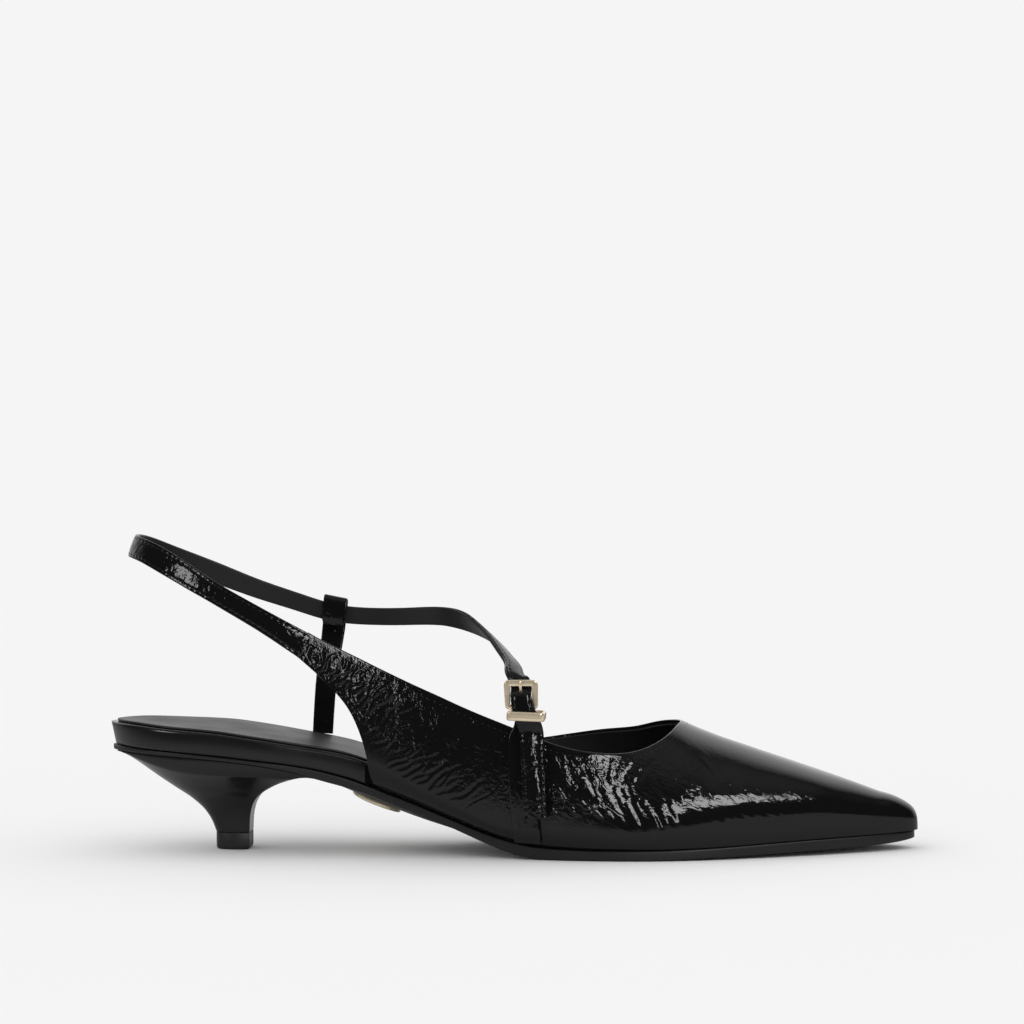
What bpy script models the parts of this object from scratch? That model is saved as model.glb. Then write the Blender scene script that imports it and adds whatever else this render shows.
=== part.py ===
"""Slingback pump, right shoe, as named solids. Sizes below are millimetres: X to the toe, +Y the
inner (medial) side, Z up, floor at 0. MM turns them into metres when a mesh is made."""

import bpy
import numpy as np

MM = 0.001
# Moves the shoe so that its bounding box stands centred on the origin.
SHIFT_X = 0.65
SHIFT_Y = 2.291

GAP = 0.3
UPPER_WALL = 1.8
STRAP_THICK = 1.7
TIP_X = 135.2
NOSE_X = 122.0
NOSE = TIP_X - NOSE_X


def along(x, table):
    """Smooth value at x through (x, value) pairs, with no overshoot between them."""
    xs, ys = np.array(table, float).T
    h = np.diff(xs)
    d = np.diff(ys) / h
    m = np.empty_like(ys)
    m[0], m[-1] = d[0], d[-1]
    same = d[:-1] * d[1:] > 0
    d0 = np.where(same, d[:-1], 1.0)
    d1 = np.where(same, d[1:], 1.0)
    w0 = 2 * h[1:] + h[:-1]
    w1 = h[1:] + 2 * h[:-1]
    m[1:-1] = np.where(same, (w0 + w1) / (w0 / d0 + w1 / d1), 0.0)
    x = np.clip(np.asarray(x, float), xs[0], xs[-1])
    i = np.clip(np.searchsorted(xs, x, side="right") - 1, 0, len(h) - 1)
    t = (x - xs[i]) / h[i]
    low = (1 + 2 * t) * (1 - t) ** 2 * ys[i] + t * (1 - t) ** 2 * h[i] * m[i]
    high = t * t * (3 - 2 * t) * ys[i + 1] + t * t * (t - 1) * h[i] * m[i + 1]
    return low + high


def spline(points, count, closed=False, spaced=None):
    """Smooth curve through the points; spaced gives where along it, as shares of the point list."""
    p = np.asarray(points, float)
    if closed:
        p = np.vstack([p, p[:1]])
    n = len(p) - 1
    h = np.maximum(np.linalg.norm(np.diff(p, axis=0), axis=1), 1e-6)
    knots = np.concatenate([[0.0], np.cumsum(h)])
    d = np.diff(p, axis=0) / h[:, None]
    a = np.zeros((n + 1, n + 1))
    b = np.zeros((n + 1, p.shape[1]))
    for i in range(1, n):
        a[i, i - 1], a[i, i], a[i, i + 1] = h[i - 1], 2 * (h[i - 1] + h[i]), h[i]
        b[i] = 6 * (d[i] - d[i - 1])
    if closed:
        a[0, 0], a[0, n] = 1, -1
        a[n, 0], a[n, 1], a[n, n - 1], a[n, n] = 2 * h[0], h[0], h[n - 1], 2 * h[n - 1]
        b[n] = 6 * (d[0] - d[n - 1])
    else:
        a[0, 0] = a[n, n] = 1
    m = np.linalg.solve(a, b)
    if spaced is None:
        s = np.linspace(0, knots[-1], count)
    else:
        s = np.interp(np.asarray(spaced, float) * n, np.arange(n + 1), knots)
    i = np.clip(np.searchsorted(knots, s, side="right") - 1, 0, n - 1)
    hh = h[i][:, None]
    t = (s - knots[i])[:, None] / hh
    u = 1 - t
    bend = ((u**3 - u) * m[i] + (t**3 - t) * m[i + 1]) * hh * hh / 6
    return u * p[i] + t * p[i + 1] + bend


def clear_scene():
    for obj in list(bpy.data.objects):
        bpy.data.objects.remove(obj)


def material(name, colour, roughness, metallic=0.0):
    mat = bpy.data.materials.new(name)
    mat.use_nodes = True
    shader = mat.node_tree.nodes["Principled BSDF"]
    shader.inputs["Base Color"].default_value = (*colour, 1.0)
    shader.inputs["Roughness"].default_value = roughness
    shader.inputs["Metallic"].default_value = metallic
    mat.diffuse_color = (*colour, 1.0)
    return mat


def body(name, verts, faces, colour, roughness, metallic=0.0):
    """One object from points in millimetres."""
    pts = (np.asarray(verts, float) + [SHIFT_X, SHIFT_Y, 0.0]) * MM
    mesh = bpy.data.meshes.new(name)
    mesh.from_pydata(pts.tolist(), [], [list(map(int, f)) for f in faces])
    mesh.validate()
    mesh.update()
    obj = bpy.data.objects.new(name, mesh)
    obj.data.materials.append(material(name, colour, roughness, metallic))
    bpy.context.scene.collection.objects.link(obj)
    return obj


def tube(rings, closed_path=False, caps="fan"):
    """Points and faces of rings joined in turn. A fan cap meets in the ring's middle point, and a
    strip cap joins the first half of the ring to the second half."""
    rings = np.asarray(rings, float)
    n, k = rings.shape[:2]
    verts = list(rings.reshape(-1, 3))
    faces = []
    for i in range(n if closed_path else n - 1):
        j = (i + 1) % n
        for c in range(k):
            e = (c + 1) % k
            faces.append((i * k + c, i * k + e, j * k + e, j * k + c))
    if closed_path:
        return verts, faces
    for i, turn in ((0, 1), (n - 1, -1)):
        if caps == "fan":
            verts.append(rings[i].mean(axis=0))
            mid = len(verts) - 1
            for c in range(k):
                face = (i * k + (c + 1) % k, i * k + c, mid)
                faces.append(face[::turn])
        else:
            for c in range(k // 2 - 1):
                face = (i * k + c + 1, i * k + c, i * k + k - 1 - c, i * k + k - 2 - c)
                faces.append(face[::turn])
    return verts, faces


def outward(verts, faces):
    """The same faces, turned so that the closed body's volume is positive."""
    v = np.asarray(verts, float)
    total = 0.0
    for f in faces:
        for a in range(1, len(f) - 1):
            total += np.dot(v[f[0]], np.cross(v[f[a]], v[f[a + 1]]))
    return faces if total > 0 else [f[::-1] for f in faces]


def solid(name, rings, colour, roughness, metallic=0.0, closed_path=False, caps="fan"):
    verts, faces = tube(rings, closed_path, caps)
    return body(name, verts, outward(verts, faces), colour, roughness, metallic)


# The outline of the sole seen from above, from the heel's back round the outer side to the toe
# and back along the inner side.
OUTLINE = [
    (-136.9, 0), (-134.6, -6.5), (-130.2, -12), (-123.3, -17.4), (-109.7, -22.9), (-93.4, -25.9),
    (-77, -25.6), (-55, -23.4), (-33.5, -23.8), (-11.8, -28.1), (10, -33), (31.7, -36.4),
    (48, -36.4), (64.4, -33.6), (80.7, -28.2), (97, -21.6), (113.3, -14), (124.2, -8.4),
    (131.2, -4), (134.5, -0.4), (135.2, 3), (134.2, 6.6), (130.4, 10.3), (124.2, 13.4),
    (113.3, 18), (97, 24.2), (80.7, 29.8), (64.4, 33.8), (48, 35), (31.7, 32.2), (10, 26.2),
    (-11.8, 20.8), (-33.5, 18.8), (-55, 20.9), (-77, 24.8), (-93.4, 25.8), (-109.7, 22.9),
    (-123.3, 17.5), (-130.2, 12.2), (-134.6, 6.6),
]


def outline_sides(inset_table):
    """The x, lateral y and medial y of the outline moved in by the inset given at each x."""
    p = spline(OUTLINE, 1601, closed=True)[:-1]
    t = np.roll(p, -1, axis=0) - np.roll(p, 1, axis=0)
    n = np.stack([-t[:, 1], t[:, 0]], 1)
    n /= np.linalg.norm(n, axis=1)[:, None]
    q = p + n * along(p[:, 0], inset_table)[:, None]
    lo, hi = int(q[:, 0].argmin()), int(q[:, 0].argmax())
    idx = np.arange(len(q))
    first = q[(lo + idx) % len(q)][: (hi - lo) % len(q) + 1]
    second = q[(hi + idx) % len(q)][: (lo - hi) % len(q) + 1]
    for half in (first, second):
        order = np.argsort(half[:, 0])
        half[:] = half[order]
    if first[:, 1].mean() > second[:, 1].mean():
        first, second = second, first
    return first, second


def side_y(sides, x):
    lat, med = sides
    return np.interp(x, lat[:, 0], lat[:, 1]), np.interp(x, med[:, 0], med[:, 1])


# Heights along the shoe: the seam on top of the outsole, its underside at the edge, how far the
# waist's middle hangs below that edge, and the top of the wrapped insole.
SEAM = [
    (-137, 35.5), (-120, 34.7), (-98, 33.2), (-88, 32.1), (-70, 29.6), (-55, 25.9), (-44, 21.8),
    (-34, 18.1), (-22, 13.4), (-8, 8.1), (1, 5.5), (9, 4.2), (17, 3.6), (30, 3.3), (43, 3.3),
    (68, 3.9), (90, 4.8), (106, 5.3), (121, 5.6), (132, 6.0), (136, 6.1),
]
UNDER = [
    (-137, 33.9), (-120, 33.3), (-98, 31.9), (-88, 30.8), (-75, 28.5), (-63.6, 25.3), (-51, 21.7),
    (-36, 15.9), (-22, 10.8), (-8, 5.0), (-1, 2.4), (5, 0.8), (9, 0.2), (12, 0), (46, 0),
    (62, 0.5), (80, 1.0), (100, 1.6), (119, 2.2), (128, 2.8), (136, 4.0),
]
CROWN = [(-137, 0), (-66, 0), (-57, 1.7), (-48, 2.8), (-30, 2.6), (-12, 1.2), (4, 0), (136, 0)]
INSOLE_TOP = [
    (-137, 43.2), (-129, 43.0), (-116, 42.1), (-98, 40.8), (-88, 39.4), (-72, 36.8), (-57, 34.1),
    (-50, 32.0), (-44, 29.4), (-34, 23.6), (-22, 17.4), (-8, 11.2), (1, 8.4), (9, 7.0), (17, 6.3),
    (30, 6.0), (43, 6.0), (68, 6.6), (90, 7.5), (106, 8.0), (121, 8.3), (136, 8.7),
]
WHOLE = outline_sides([(-140, 0), (140, 0)])


def under_z(x, y):
    """The outsole's underside, hanging lower in the middle of the waist."""
    lat, med = side_y(WHOLE, x)
    mid = (lat + med) / 2
    half = np.maximum((med - lat) / 2, 0.5)
    r = np.clip(np.abs(y - mid) / half, 0, 1)
    ease = np.clip((r - 0.35) / 0.65, 0, 1)
    drop = 1 - ease * ease * (3 - 2 * ease)
    return along(x, UNDER) - along(x, CROWN) * drop


def stations(x0, x1, count, inner=0.2):
    """Places along the shoe, close together at the two rounded ends."""
    a = np.linspace(0, np.pi, count)
    even = np.linspace(0, 1, count)
    mixed = 0.55 * (1 - np.cos(a)) / 2 + 0.45 * even
    return x0 + inner + (x1 - x0 - 2 * inner) * mixed


def plate_rings(sides, xs, top, bottom, across=9, rim=0.5):
    """Rings across a flat body: lateral to medial along the top, and back along the bottom."""
    share = np.sin(np.linspace(-1, 1, across) * np.pi / 2 * 0.92) / np.sin(np.pi / 2 * 0.92)
    rings = []
    for x in xs:
        lat, med = side_y(sides, x)
        y = (lat + med) / 2 + share * (med - lat) / 2
        zt = top(x, y)
        zb = bottom(x, y)
        edge = np.minimum(rim, (zt - zb) * 0.25)
        inner = (lat + med) / 2 + share * max((med - lat) / 2 - rim, 0.3)
        up = np.stack([np.full(across, x), inner, zt], 1)
        low = np.stack([np.full(across, x), inner, zb], 1)
        side = [[x, med, zt[-1] - edge[-1]], [x, med, zb[-1] + edge[-1]]]
        back = [[x, lat, zb[0] + edge[0]], [x, lat, zt[0] - edge[0]]]
        rings.append(np.vstack([up, side, low[::-1], back]))
    return np.array(rings)


def half_turned(rings, first):
    """Starts each ring at another of its points, so that a strip cap runs across the body."""
    return np.roll(rings, -first, axis=1)


# The last: sections across the foot at each x. A row is x, ridge height and ridge y, then for each
# side how far its widest place stands out from the feather edge, the height of that place, how far
# the wall goes on upright above it, and how far out the ridge stays flat.
LAST = [
    (-80, 127, 0, 8.6, 46, 30, 26.5, 8.5, 46, 32, 27),
    (-60, 113, 0, 8.4, 39.5, 28, 25.5, 8.5, 39, 30, 25.5),
    (-42, 101, 0, 7.8, 30.8, 24, 25.3, 7.0, 31, 27, 24.5),
    (-20, 87.5, 0.5, 5.9, 19, 22, 27.7, 5.0, 20.5, 26, 25.5),
    (0, 75.5, 1, 3.5, 10.8, 24.5, 31.8, 3.6, 12.5, 26, 26.5),
    (25, 60, 2, 2.4, 10, 20, 28, 2.4, 10.5, 20, 24.5),
    (42, 50.3, 2.5, 1.3, 9, 17, 20.5, 1.4, 9.5, 17, 19.5),
    (56, 42.9, 3, 1.1, 10.5, 15, 21, 1.1, 11, 15, 19),
    (66, 38.6, 3, 0.9, 12, 12.5, 18.5, 0.9, 12.3, 12.5, 17.5),
    (80, 33.7, 3, 0.8, 13.5, 10.5, 16, 0.8, 13.7, 10.5, 15.5),
    (100, 26.9, 3, 0.8, 13.8, 7.5, 14, 0.8, 13.9, 7.5, 13.5),
    (113, 22.4, 3, 0.7, 12.8, 5, 10.5, 0.7, 12.9, 5, 10.2),
    (122, 19.1, 3, 0.5, 11.7, 4.2, 8, 0.5, 11.7, 4.2, 7.8),
]
NOSE_HEIGHT = [(0, 1.0), (0.35, 0.9), (0.75, 0.735), (1.1, 0.555), (1.38, 0.33), (1.5708, 0)]
FEATHER = outline_sides([(-140, 0.9), (112, 0.9), (134, 0.1), (135.3, 0.0), (140, 0.0)])
FEATHER_LIFT = 0.3


def last_row(k):
    """The section's numbers at k, where k is x up to the nose and an angle round it past that."""
    k = np.asarray(k, float)
    a = np.clip((k - NOSE_X) / NOSE, 0, np.pi / 2)
    x = np.where(k > NOSE_X, NOSE_X + NOSE * np.sin(a), k)
    cols = [along(np.minimum(k, NOSE_X), [(r[0], r[c]) for r in LAST]) for c in range(1, 11)]
    foot = along(x, SEAM) + FEATHER_LIFT
    high = cols[0] - foot
    scale = np.where(k > NOSE_X, along(a, NOSE_HEIGHT), 1.0)
    lat, med = side_y(FEATHER, x)
    return x, foot, high * scale, cols, lat, med, scale


def last_point(k, f):
    """A point of the last. f runs from -1 at the outer feather edge, through 0 at the ridge, to 1
    at the inner feather edge. Each side bends out from the feather edge to its widest place, where
    it is upright, and from there over to the ridge, where it is level."""
    k, f = np.broadcast_arrays(np.asarray(k, float), np.asarray(f, float))
    x, foot, high, c, lat, med, scale = last_row(k)
    p = 1 - np.abs(f)
    outer = f < 0
    base = np.where(outer, lat, med)
    sign = np.where(outer, -1.0, 1.0)
    wide = base + sign * np.where(outer, c[2], c[6]) * scale
    level = (np.where(outer, c[3], c[7]) - foot) * scale
    up = np.where(outer, c[4], c[8]) * scale
    flat = np.where(outer, c[5], c[9]) * scale
    ridge_y = c[1] * scale + (1 - scale) * (lat + med) / 2
    share = np.maximum(level / np.maximum(high + np.abs(ridge_y - wide), 1e-6), 1e-6)
    a = np.clip(p / share, 0, 1)
    b = np.clip((p - share) / (1 - share), 0, 1)
    q = 1 - b
    y_low = (1 - a) ** 2 * base + (2 - a) * a * wide
    z_low = (0.8 * (1 - a) * a + a * a) * level
    y_high = q * q * (1 + 2 * b) * wide + 3 * q * b * b * (ridge_y + sign * flat) + b**3 * ridge_y
    z_high = q**3 * level + 3 * q * q * b * (level + up) + (3 - 2 * b) * b * b * high
    low = p < share
    return np.stack([x, np.where(low, y_low, y_high), foot + np.where(low, z_low, z_high)], -1)


def girth(k):
    x, foot, high, c, lat, med, scale = last_row(k)
    return high + (med - lat) / 2


def find_f(k, side, z=None, y=None):
    """The f on one side of the section at k whose point has the height z, or the y."""
    f = side * np.linspace(0, 1, 801)
    p = last_point(np.full(f.shape, float(k)), f)
    miss = np.abs(p[:, 2] - z) if y is None else np.abs(p[:, 1] - y)
    return f[int(miss.argmin())]


def normals(grid):
    a = np.gradient(grid, axis=0)
    b = np.gradient(grid, axis=1)
    n = np.cross(a, b)
    return n / np.maximum(np.linalg.norm(n, axis=-1, keepdims=True), 1e-9)


# The edges of the upper, in pairs along its length. The lower edge starts at the end of the
# outer wing, comes down to the sole, and runs round the toe to the inner side. The upper edge
# starts at the wing too, and runs down to the throat and back along the inner side.
WING_LOW = [(-71.3, 68.4), (-65, 62.9), (-59.4, 57.4), (-53.6, 50.4), (-50.2, 43.6), (-48.2, 37.6),
            (-46.8, 30.6), (-45.6, 25.2)]
SOLE_KEYS = [-43.5, -20, 5, 25, 50, 75, 100, 122, 134, 139.5]
TIP_K = NOSE_X + NOSE * np.pi / 2
TOP_LATERAL_Z = [(-66.6, 74.6), (-61.5, 71.8), (-56, 69.0), (-49, 65.5), (-42, 61.9), (-35, 58.5),
                 (-28, 55.3), (-21.7, 52.5), (-10, 47.4), (0.5, 43.3), (11.9, 38.8),
                 (18, 36.9), (26, 35.3), (33, 34.6), (39.5, 34.7), (45, 36.0), (49.6, 38.0),
                 (53.4, 40.5)]
TOP_LATERAL_Y = [(55.6, -4.5), (56.4, 2.5)]
TOP_MEDIAL_Y = [(55.6, 9.0), (52.4, 15.2), (47.4, 20.2)]
TOP_MEDIAL_Z = [(40.5, 38.9), (31, 37.6), (21, 36.2), (10, 34.6), (-3, 32.4), (-16, 29.8),
                (-28, 26.8), (-37, 24.0), (-42.5, 22.6)]


def upper_edges():
    low = [(k, find_f(k, -1, z=z)) for k, z in WING_LOW]
    low += [(k, -1.0) for k in SOLE_KEYS]
    low += [(TIP_K, 0.0)]
    low += [(k, 1.0) for k in SOLE_KEYS[::-1]]
    top = [(k, find_f(k, -1, z=z)) for k, z in TOP_LATERAL_Z]
    top += [(k, find_f(k, -1 if y < 3 else 1, y=y)) for k, y in TOP_LATERAL_Y + TOP_MEDIAL_Y]
    top += [(k, find_f(k, 1, z=z)) for k, z in TOP_MEDIAL_Z]
    return np.array(low), np.array(top)


# For each named place on the lower edge, the x of its partner on the upper edge.
PAIRS_OUTER = [(0, 0), (2, 1.3), (4, 3.6), (6, 5.6), (7, 6.5), (8, 7.4), (9, 8.9), (10, 10.5),
               (11, 12.2), (12, 14), (13, 15.4), (14, 16.4), (15, 17.3), (16, 17.9), (18, 19),
               (20, 20.1), (21, 20.6), (22, 21.4), (23, 22.4), (24, 23.6), (25, 25.2), (26, 27.4),
               (27, 29.6), (28, 31)]


def upper_grid(per=(3, 3), rows=13):
    """Grid of (k, f) over the upper, from its lower edge (row 0) to its top edge."""
    low, top = upper_edges()
    n_low, n_top = len(low), len(top)
    wing = len(WING_LOW)
    steps = []
    for i in range(n_low - 1):
        count = per[0] if i < wing else per[1]
        steps.append(np.linspace(i, i + 1, count, endpoint=False))
    u = np.concatenate(steps + [[n_low - 1]])
    low_q = low.copy()
    low_q[:, 1] = low[:, 1] * girth(low[:, 0])
    top_q = top.copy()
    top_q[:, 1] = top[:, 1] * girth(top[:, 0])
    w = along(u, PAIRS_OUTER)
    upper_edge = spline(top_q, 0, spaced=w / (n_top - 1))
    lower_edge = np.empty((len(u), 2))
    tip = wing + len(SOLE_KEYS)
    index = np.arange(n_low)
    for i, value in enumerate(u):
        if value < wing:
            lower_edge[i] = spline(low_q[: wing + 1], 0, spaced=[value / wing])[0]
        else:
            k = along(value, list(zip(index[wing:tip + 1], low[wing:tip + 1, 0]))) if value <= tip \
                else along(value, list(zip(index[tip:], low[tip:, 0])))
            side = -1.0 if value < tip else 1.0
            lower_edge[i] = (k, side * girth(k))
    v = np.linspace(0, 1, rows) ** 1.2
    grid = lower_edge[:, None] * (1 - v)[None, :, None] + upper_edge[:, None] * v[None, :, None]
    k = grid[..., 0]
    g = np.maximum(girth(k), 1e-6)
    f = np.clip(grid[..., 1] / g, -1, 1)
    return k, f


def make_upper():
    k, f = upper_grid()
    outer = last_point(k, f)
    n = normals(outer)
    flip = -1.0 if n[3, 5, 1] > 0 else 1.0
    n *= flip
    # Along the sole the wall stands upright, so there its thickness is measured level.
    foot = np.gradient(outer[:, 0], axis=0)
    level = np.stack([foot[:, 1], -foot[:, 0], np.zeros(len(foot))], 1)
    level /= np.linalg.norm(level, axis=1)[:, None]
    wing = len(WING_LOW) * 3
    n[wing:, 0] = level[wing:] * (1.0 if level[wing, 1] < 0 else -1.0)
    inner = outer - n * UPPER_WALL
    low = inner[wing:, 0]
    low[:, 2] = np.maximum(low[:, 2], along(low[:, 0], SEAM) + FEATHER_LIFT)
    rings = np.concatenate([outer, inner[:, ::-1]], axis=1)
    return solid("upper", rings, (0.012, 0.012, 0.013), 0.22, caps="strip"), outer, n


def wing_end():
    """Where the strap butts on the wing: its middle, and the direction across it."""
    low = last_point(-71.9, find_f(-71.9, -1, z=68.8))
    top = last_point(-67.1, find_f(-67.1, -1, z=75.0))
    mid = (low + top) / 2 - wall_normal(-69.5, 71.0) * 0.9
    return tuple(mid), tuple(top - low)


def strap_edges():
    """Upper and lower edge of the sling strap, from the wing round the heel, through the stay's
    loop, across the instep and down over the buckle to the tail."""
    # Centre, the direction across the strap, and the strap's width.
    rows = [
        (*wing_end()[0], wing_end()[1], 7.9),
        (-84.3, -29.6, 80.6, (0.5, 0.05, 0.86), 7.1),
        (-96.5, -27.0, 87.3, (0.5, 0.08, 0.86), 6.8),
        (-107.5, -22.3, 93.4, (0.44, 0.12, 0.88), 7.5),
        (-116.6, -16.3, 98.2, (0.40, 0.16, 0.9), 8.0),
        (-124.2, -8.6, 101.3, (0.36, 0.12, 0.92), 7.8),
        (-128.5, 0.0, 102.4, (0.36, 0.0, 0.93), 7.8),
        (-126.8, 9.0, 101.8, (0.32, -0.12, 0.93), 7.7),
        (-119.5, 17.4, 98.3, (0.22, -0.14, 0.95), 7.6),
        (-104.5, 24.0, 92.0, (0.26, -0.1, 0.95), 7.2),
        (-90.0, 27.0, 86.1, (0.24, -0.05, 0.96), 6.6),
        (-76.0, 27.7, 81.4, (0.24, 0.0, 0.97), 6.2),
        (-63.5, 27.7, 77.7, (0.16, 0.0, 0.98), 6.1),
        (-51.0, 27.2, 76.5, (0.0, 0.0, 1.0), 6.0),
        (-38.5, 25.0, 76.6, (-0.02, 0.05, 1.0), 6.1),
        (-27.0, 20.6, 77.0, (-0.18, 0.16, 0.97), 6.4),
        (-18.6, 14.0, 76.0, (-0.4, 0.15, 0.88), 6.6),
        (-11.8, 5.0, 73.5, (-0.62, 0.05, 0.76), 6.7),
        (-6.2, -6.0, 70.4, (-0.72, -0.12, 0.66), 6.9),
        (-1.8, -16.4, 66.4, (-0.8, -0.3, 0.5), 7.1),
        (1.3, -25.0, 63.0, (-0.76, -0.55, 0.3), 7.1),
        (2.4, -30.6, 60.6, (-0.74, -0.6, 0.16), 7.0),
        (3.7, -32.3, 58.9, (-0.96, -0.12, 0.0), 6.9),
        (4.3, -33.4, 56.9, (-1.0, 0.0, -0.05), 6.9),
        (4.4, -36.4, 54.2, (-1.0, 0.0, -0.1), 7.0),
        (5.0, -37.0, 51.2, (-1.0, 0.0, -0.14), 7.4),
        (6.0, -36.9, 47.4, (-1.0, 0.0, -0.16), 7.6),
    ]
    mid = [r[:3] for r in rows]
    across = [r[3] for r in rows]
    wide = [(r[4], 0.0, 0.0) for r in rows]
    # The tail lies on the outer side over the buckle's strip, following the last.
    for z, x in ((42.5, 7.3), (37, 7.9), (30, 8.5), (23, 9.0), (17, 9.3), (14.2, 9.5)):
        spot = last_point(x, find_f(x, -1, z=z))
        wall = wall_normal(x, z)
        lift = 0.8 + STRIP_THICK + STRAP_THICK / 2 + (1.2 if z > 41 else 0.4 if z > 35 else 0.0)
        mid.append(tuple(spot + wall * lift))
        across.append(tuple(wall_back(x, z)))
        wide.append((7.9, 0.0, 0.0))
    mid, across, wide = np.array(mid), np.array(across), np.array(wide)
    return mid, across / np.linalg.norm(across, axis=1)[:, None], wide[:, 0]


def wall_normal(k, z, side=-1):
    f = find_f(k, side, z=z)
    a = last_point(k + 1.0, f) - last_point(k - 1.0, f)
    b = last_point(k, f * 0.98) - last_point(k, min(max(f * 1.02, -1), 1))
    n = np.cross(a, b)
    n /= np.linalg.norm(n)
    return n if n[1] * side > 0 else -n


def wall_back(k, z, side=-1):
    """Direction to the heel along the last's wall, at one height."""
    a = last_point(k - 4.0, find_f(k - 4.0, side, z=z))
    b = last_point(k + 4.0, find_f(k + 4.0, side, z=z))
    return (a - b) / np.linalg.norm(a - b)


def ribbon(mid, across, wide, thick, per, chamfer=0.28):
    """Rings of a flat strip along the path, with chamfered edges."""
    count = (len(mid) - 1) * per + 1
    s = np.linspace(0, 1, count)
    c = spline(mid, 0, spaced=s)
    index = s * (len(mid) - 1)
    w = np.stack([np.interp(index, np.arange(len(mid)), across[:, a]) for a in range(3)], 1)
    width = along(index, list(zip(range(len(mid)), wide)))
    t = np.gradient(c, axis=0)
    t /= np.linalg.norm(t, axis=1)[:, None]
    w -= t * (w * t).sum(1)[:, None]
    w /= np.linalg.norm(w, axis=1)[:, None]
    n = np.cross(w, t)
    h = thick / 2
    profile = []
    for sw, sn in ((1, 1), (-1, 1), (-1, -1), (1, -1)):
        pair = [(sw, sn * h, sw * 0.0, chamfer), (sw, sn * h, chamfer, 0.0)]
        if sw * sn > 0:
            pair = pair[::-1]
        profile.extend(pair)
    rings = np.empty((count, 8, 3))
    corners = [(1, 1, 0), (1, 1, 1), (-1, 1, 1), (-1, 1, 0), (-1, -1, 0), (-1, -1, 1), (1, -1, 1),
               (1, -1, 0)]
    for j, (sw, sn, flat) in enumerate(corners):
        across_by = width / 2 - (chamfer if flat else 0.0)
        out_by = h - (0.0 if flat else chamfer)
        rings[:, j] = c + w * (sw * across_by)[:, None] + n * (sn * out_by)
    return rings


STRIP_THICK = 1.3


def make_soles():
    outsole_sides = outline_sides([(-140, 0.9), (-75, 0.9), (-52, 0.1), (118, 0.1), (131, 0.9),
                                   (140, 1.3)])
    xs = stations(outsole_sides[0][:, 0].min(), outsole_sides[0][:, 0].max(), 42)
    top = lambda x, y: np.full(y.shape, along(x, SEAM))
    rings = plate_rings(outsole_sides, xs, top, under_z, across=11)
    solid("outsole", rings, (0.015, 0.015, 0.015), 0.45, caps="strip")

    band_sides = outline_sides([(-140, 0.2), (-49, 0.2), (-45.5, 3.3), (118, 3.3), (131, 4.4),
                                (140, 4.8)])
    x1 = band_sides[0][:, 0].max()
    xs = stations(-136.7, x1, 38)
    top = lambda x, y: np.full(y.shape, along(x, INSOLE_TOP))
    bottom = lambda x, y: np.full(y.shape, along(x, SEAM) + GAP)
    solid("insole", plate_rings(band_sides, xs, top, bottom, across=7, rim=0.9), (0.02, 0.02, 0.021), 0.3,
          caps="strip")

    sock_sides = outline_sides([(-140, 2.4), (-49, 2.4), (-45.5, 3.9), (118, 3.9), (131, 5.2),
                                (140, 5.6)])
    xs = stations(sock_sides[0][:, 0].min(), sock_sides[0][:, 0].max(), 36)
    top = lambda x, y: np.full(y.shape, along(x, INSOLE_TOP) + 0.9)
    bottom = lambda x, y: np.full(y.shape, along(x, INSOLE_TOP) + 0.2)
    solid("sock_lining", plate_rings(sock_sides, xs, top, bottom, across=7, rim=0.3), (0.03, 0.03, 0.031),
          0.7, caps="strip")


# The heel: for each level from the top piece up, the back and front points of the section on the
# shoe's middle line, its half width, and how squarely its back is rounded.
HEEL = [
    (0.0, -101.3, 5.9, -89.4, 5.9, 6.2),
    (0.12, -102.8, 9.6, -89.2, 10.2, 6.5),
    (0.24, -105.2, 13.2, -88.4, 14.4, 7.5),
    (0.36, -109.3, 16.8, -86.7, 17.4, 9.8),
    (0.50, -115.6, 20.6, -83.6, 19.7, 13.6),
    (0.66, -122.4, 24.5, -79.0, 21.6, 17.6),
    (0.82, -128.5, 28.4, -73.4, 23.1, 21.2),
    (1.0, -134.6, 33.0, -66.0, 25.2, 24.0),
]
HEEL_EDGE = 9


def heel_section(w, inset=0.0):
    px, pz, qx, qz, half = [float(along(w, [(r[0], r[c]) for r in HEEL])) for c in range(1, 6)]
    px += inset
    qx -= inset
    half -= inset
    u = 1 - np.cos(np.linspace(0, np.pi / 2, HEEL_EDGE))
    u = 0.6 * u + 0.4 * np.linspace(0, 1, HEEL_EDGE)
    x = px + (qx - px) * u
    z = pz + (qz - pz) * u
    d = half * (1 - (1 - np.clip(u / 0.62, 0, 1)) ** 2.2) ** (1 / 2.2)
    d = d * (1 - 0.12 * np.clip((u - 0.62) / 0.38, 0, 1) ** 2)
    lat, med = side_y(WHOLE, x)
    seat = (med - lat) / 2 - 1.7
    seat = np.maximum(seat, 0.0)
    blend = np.clip((w - 0.5) / 0.5, 0, 1)
    blend = blend * blend * (3 - 2 * blend)
    y = d * (1 - blend) + np.minimum(d * 1.2, seat) * blend
    y[0] = 0
    line = along(x, UNDER) - GAP - z
    z = z + line * w**4
    left = np.stack([x, -y, z], 1)
    right = np.stack([x, y, z], 1)
    return np.vstack([left, right[::-1][:-1]])


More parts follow.
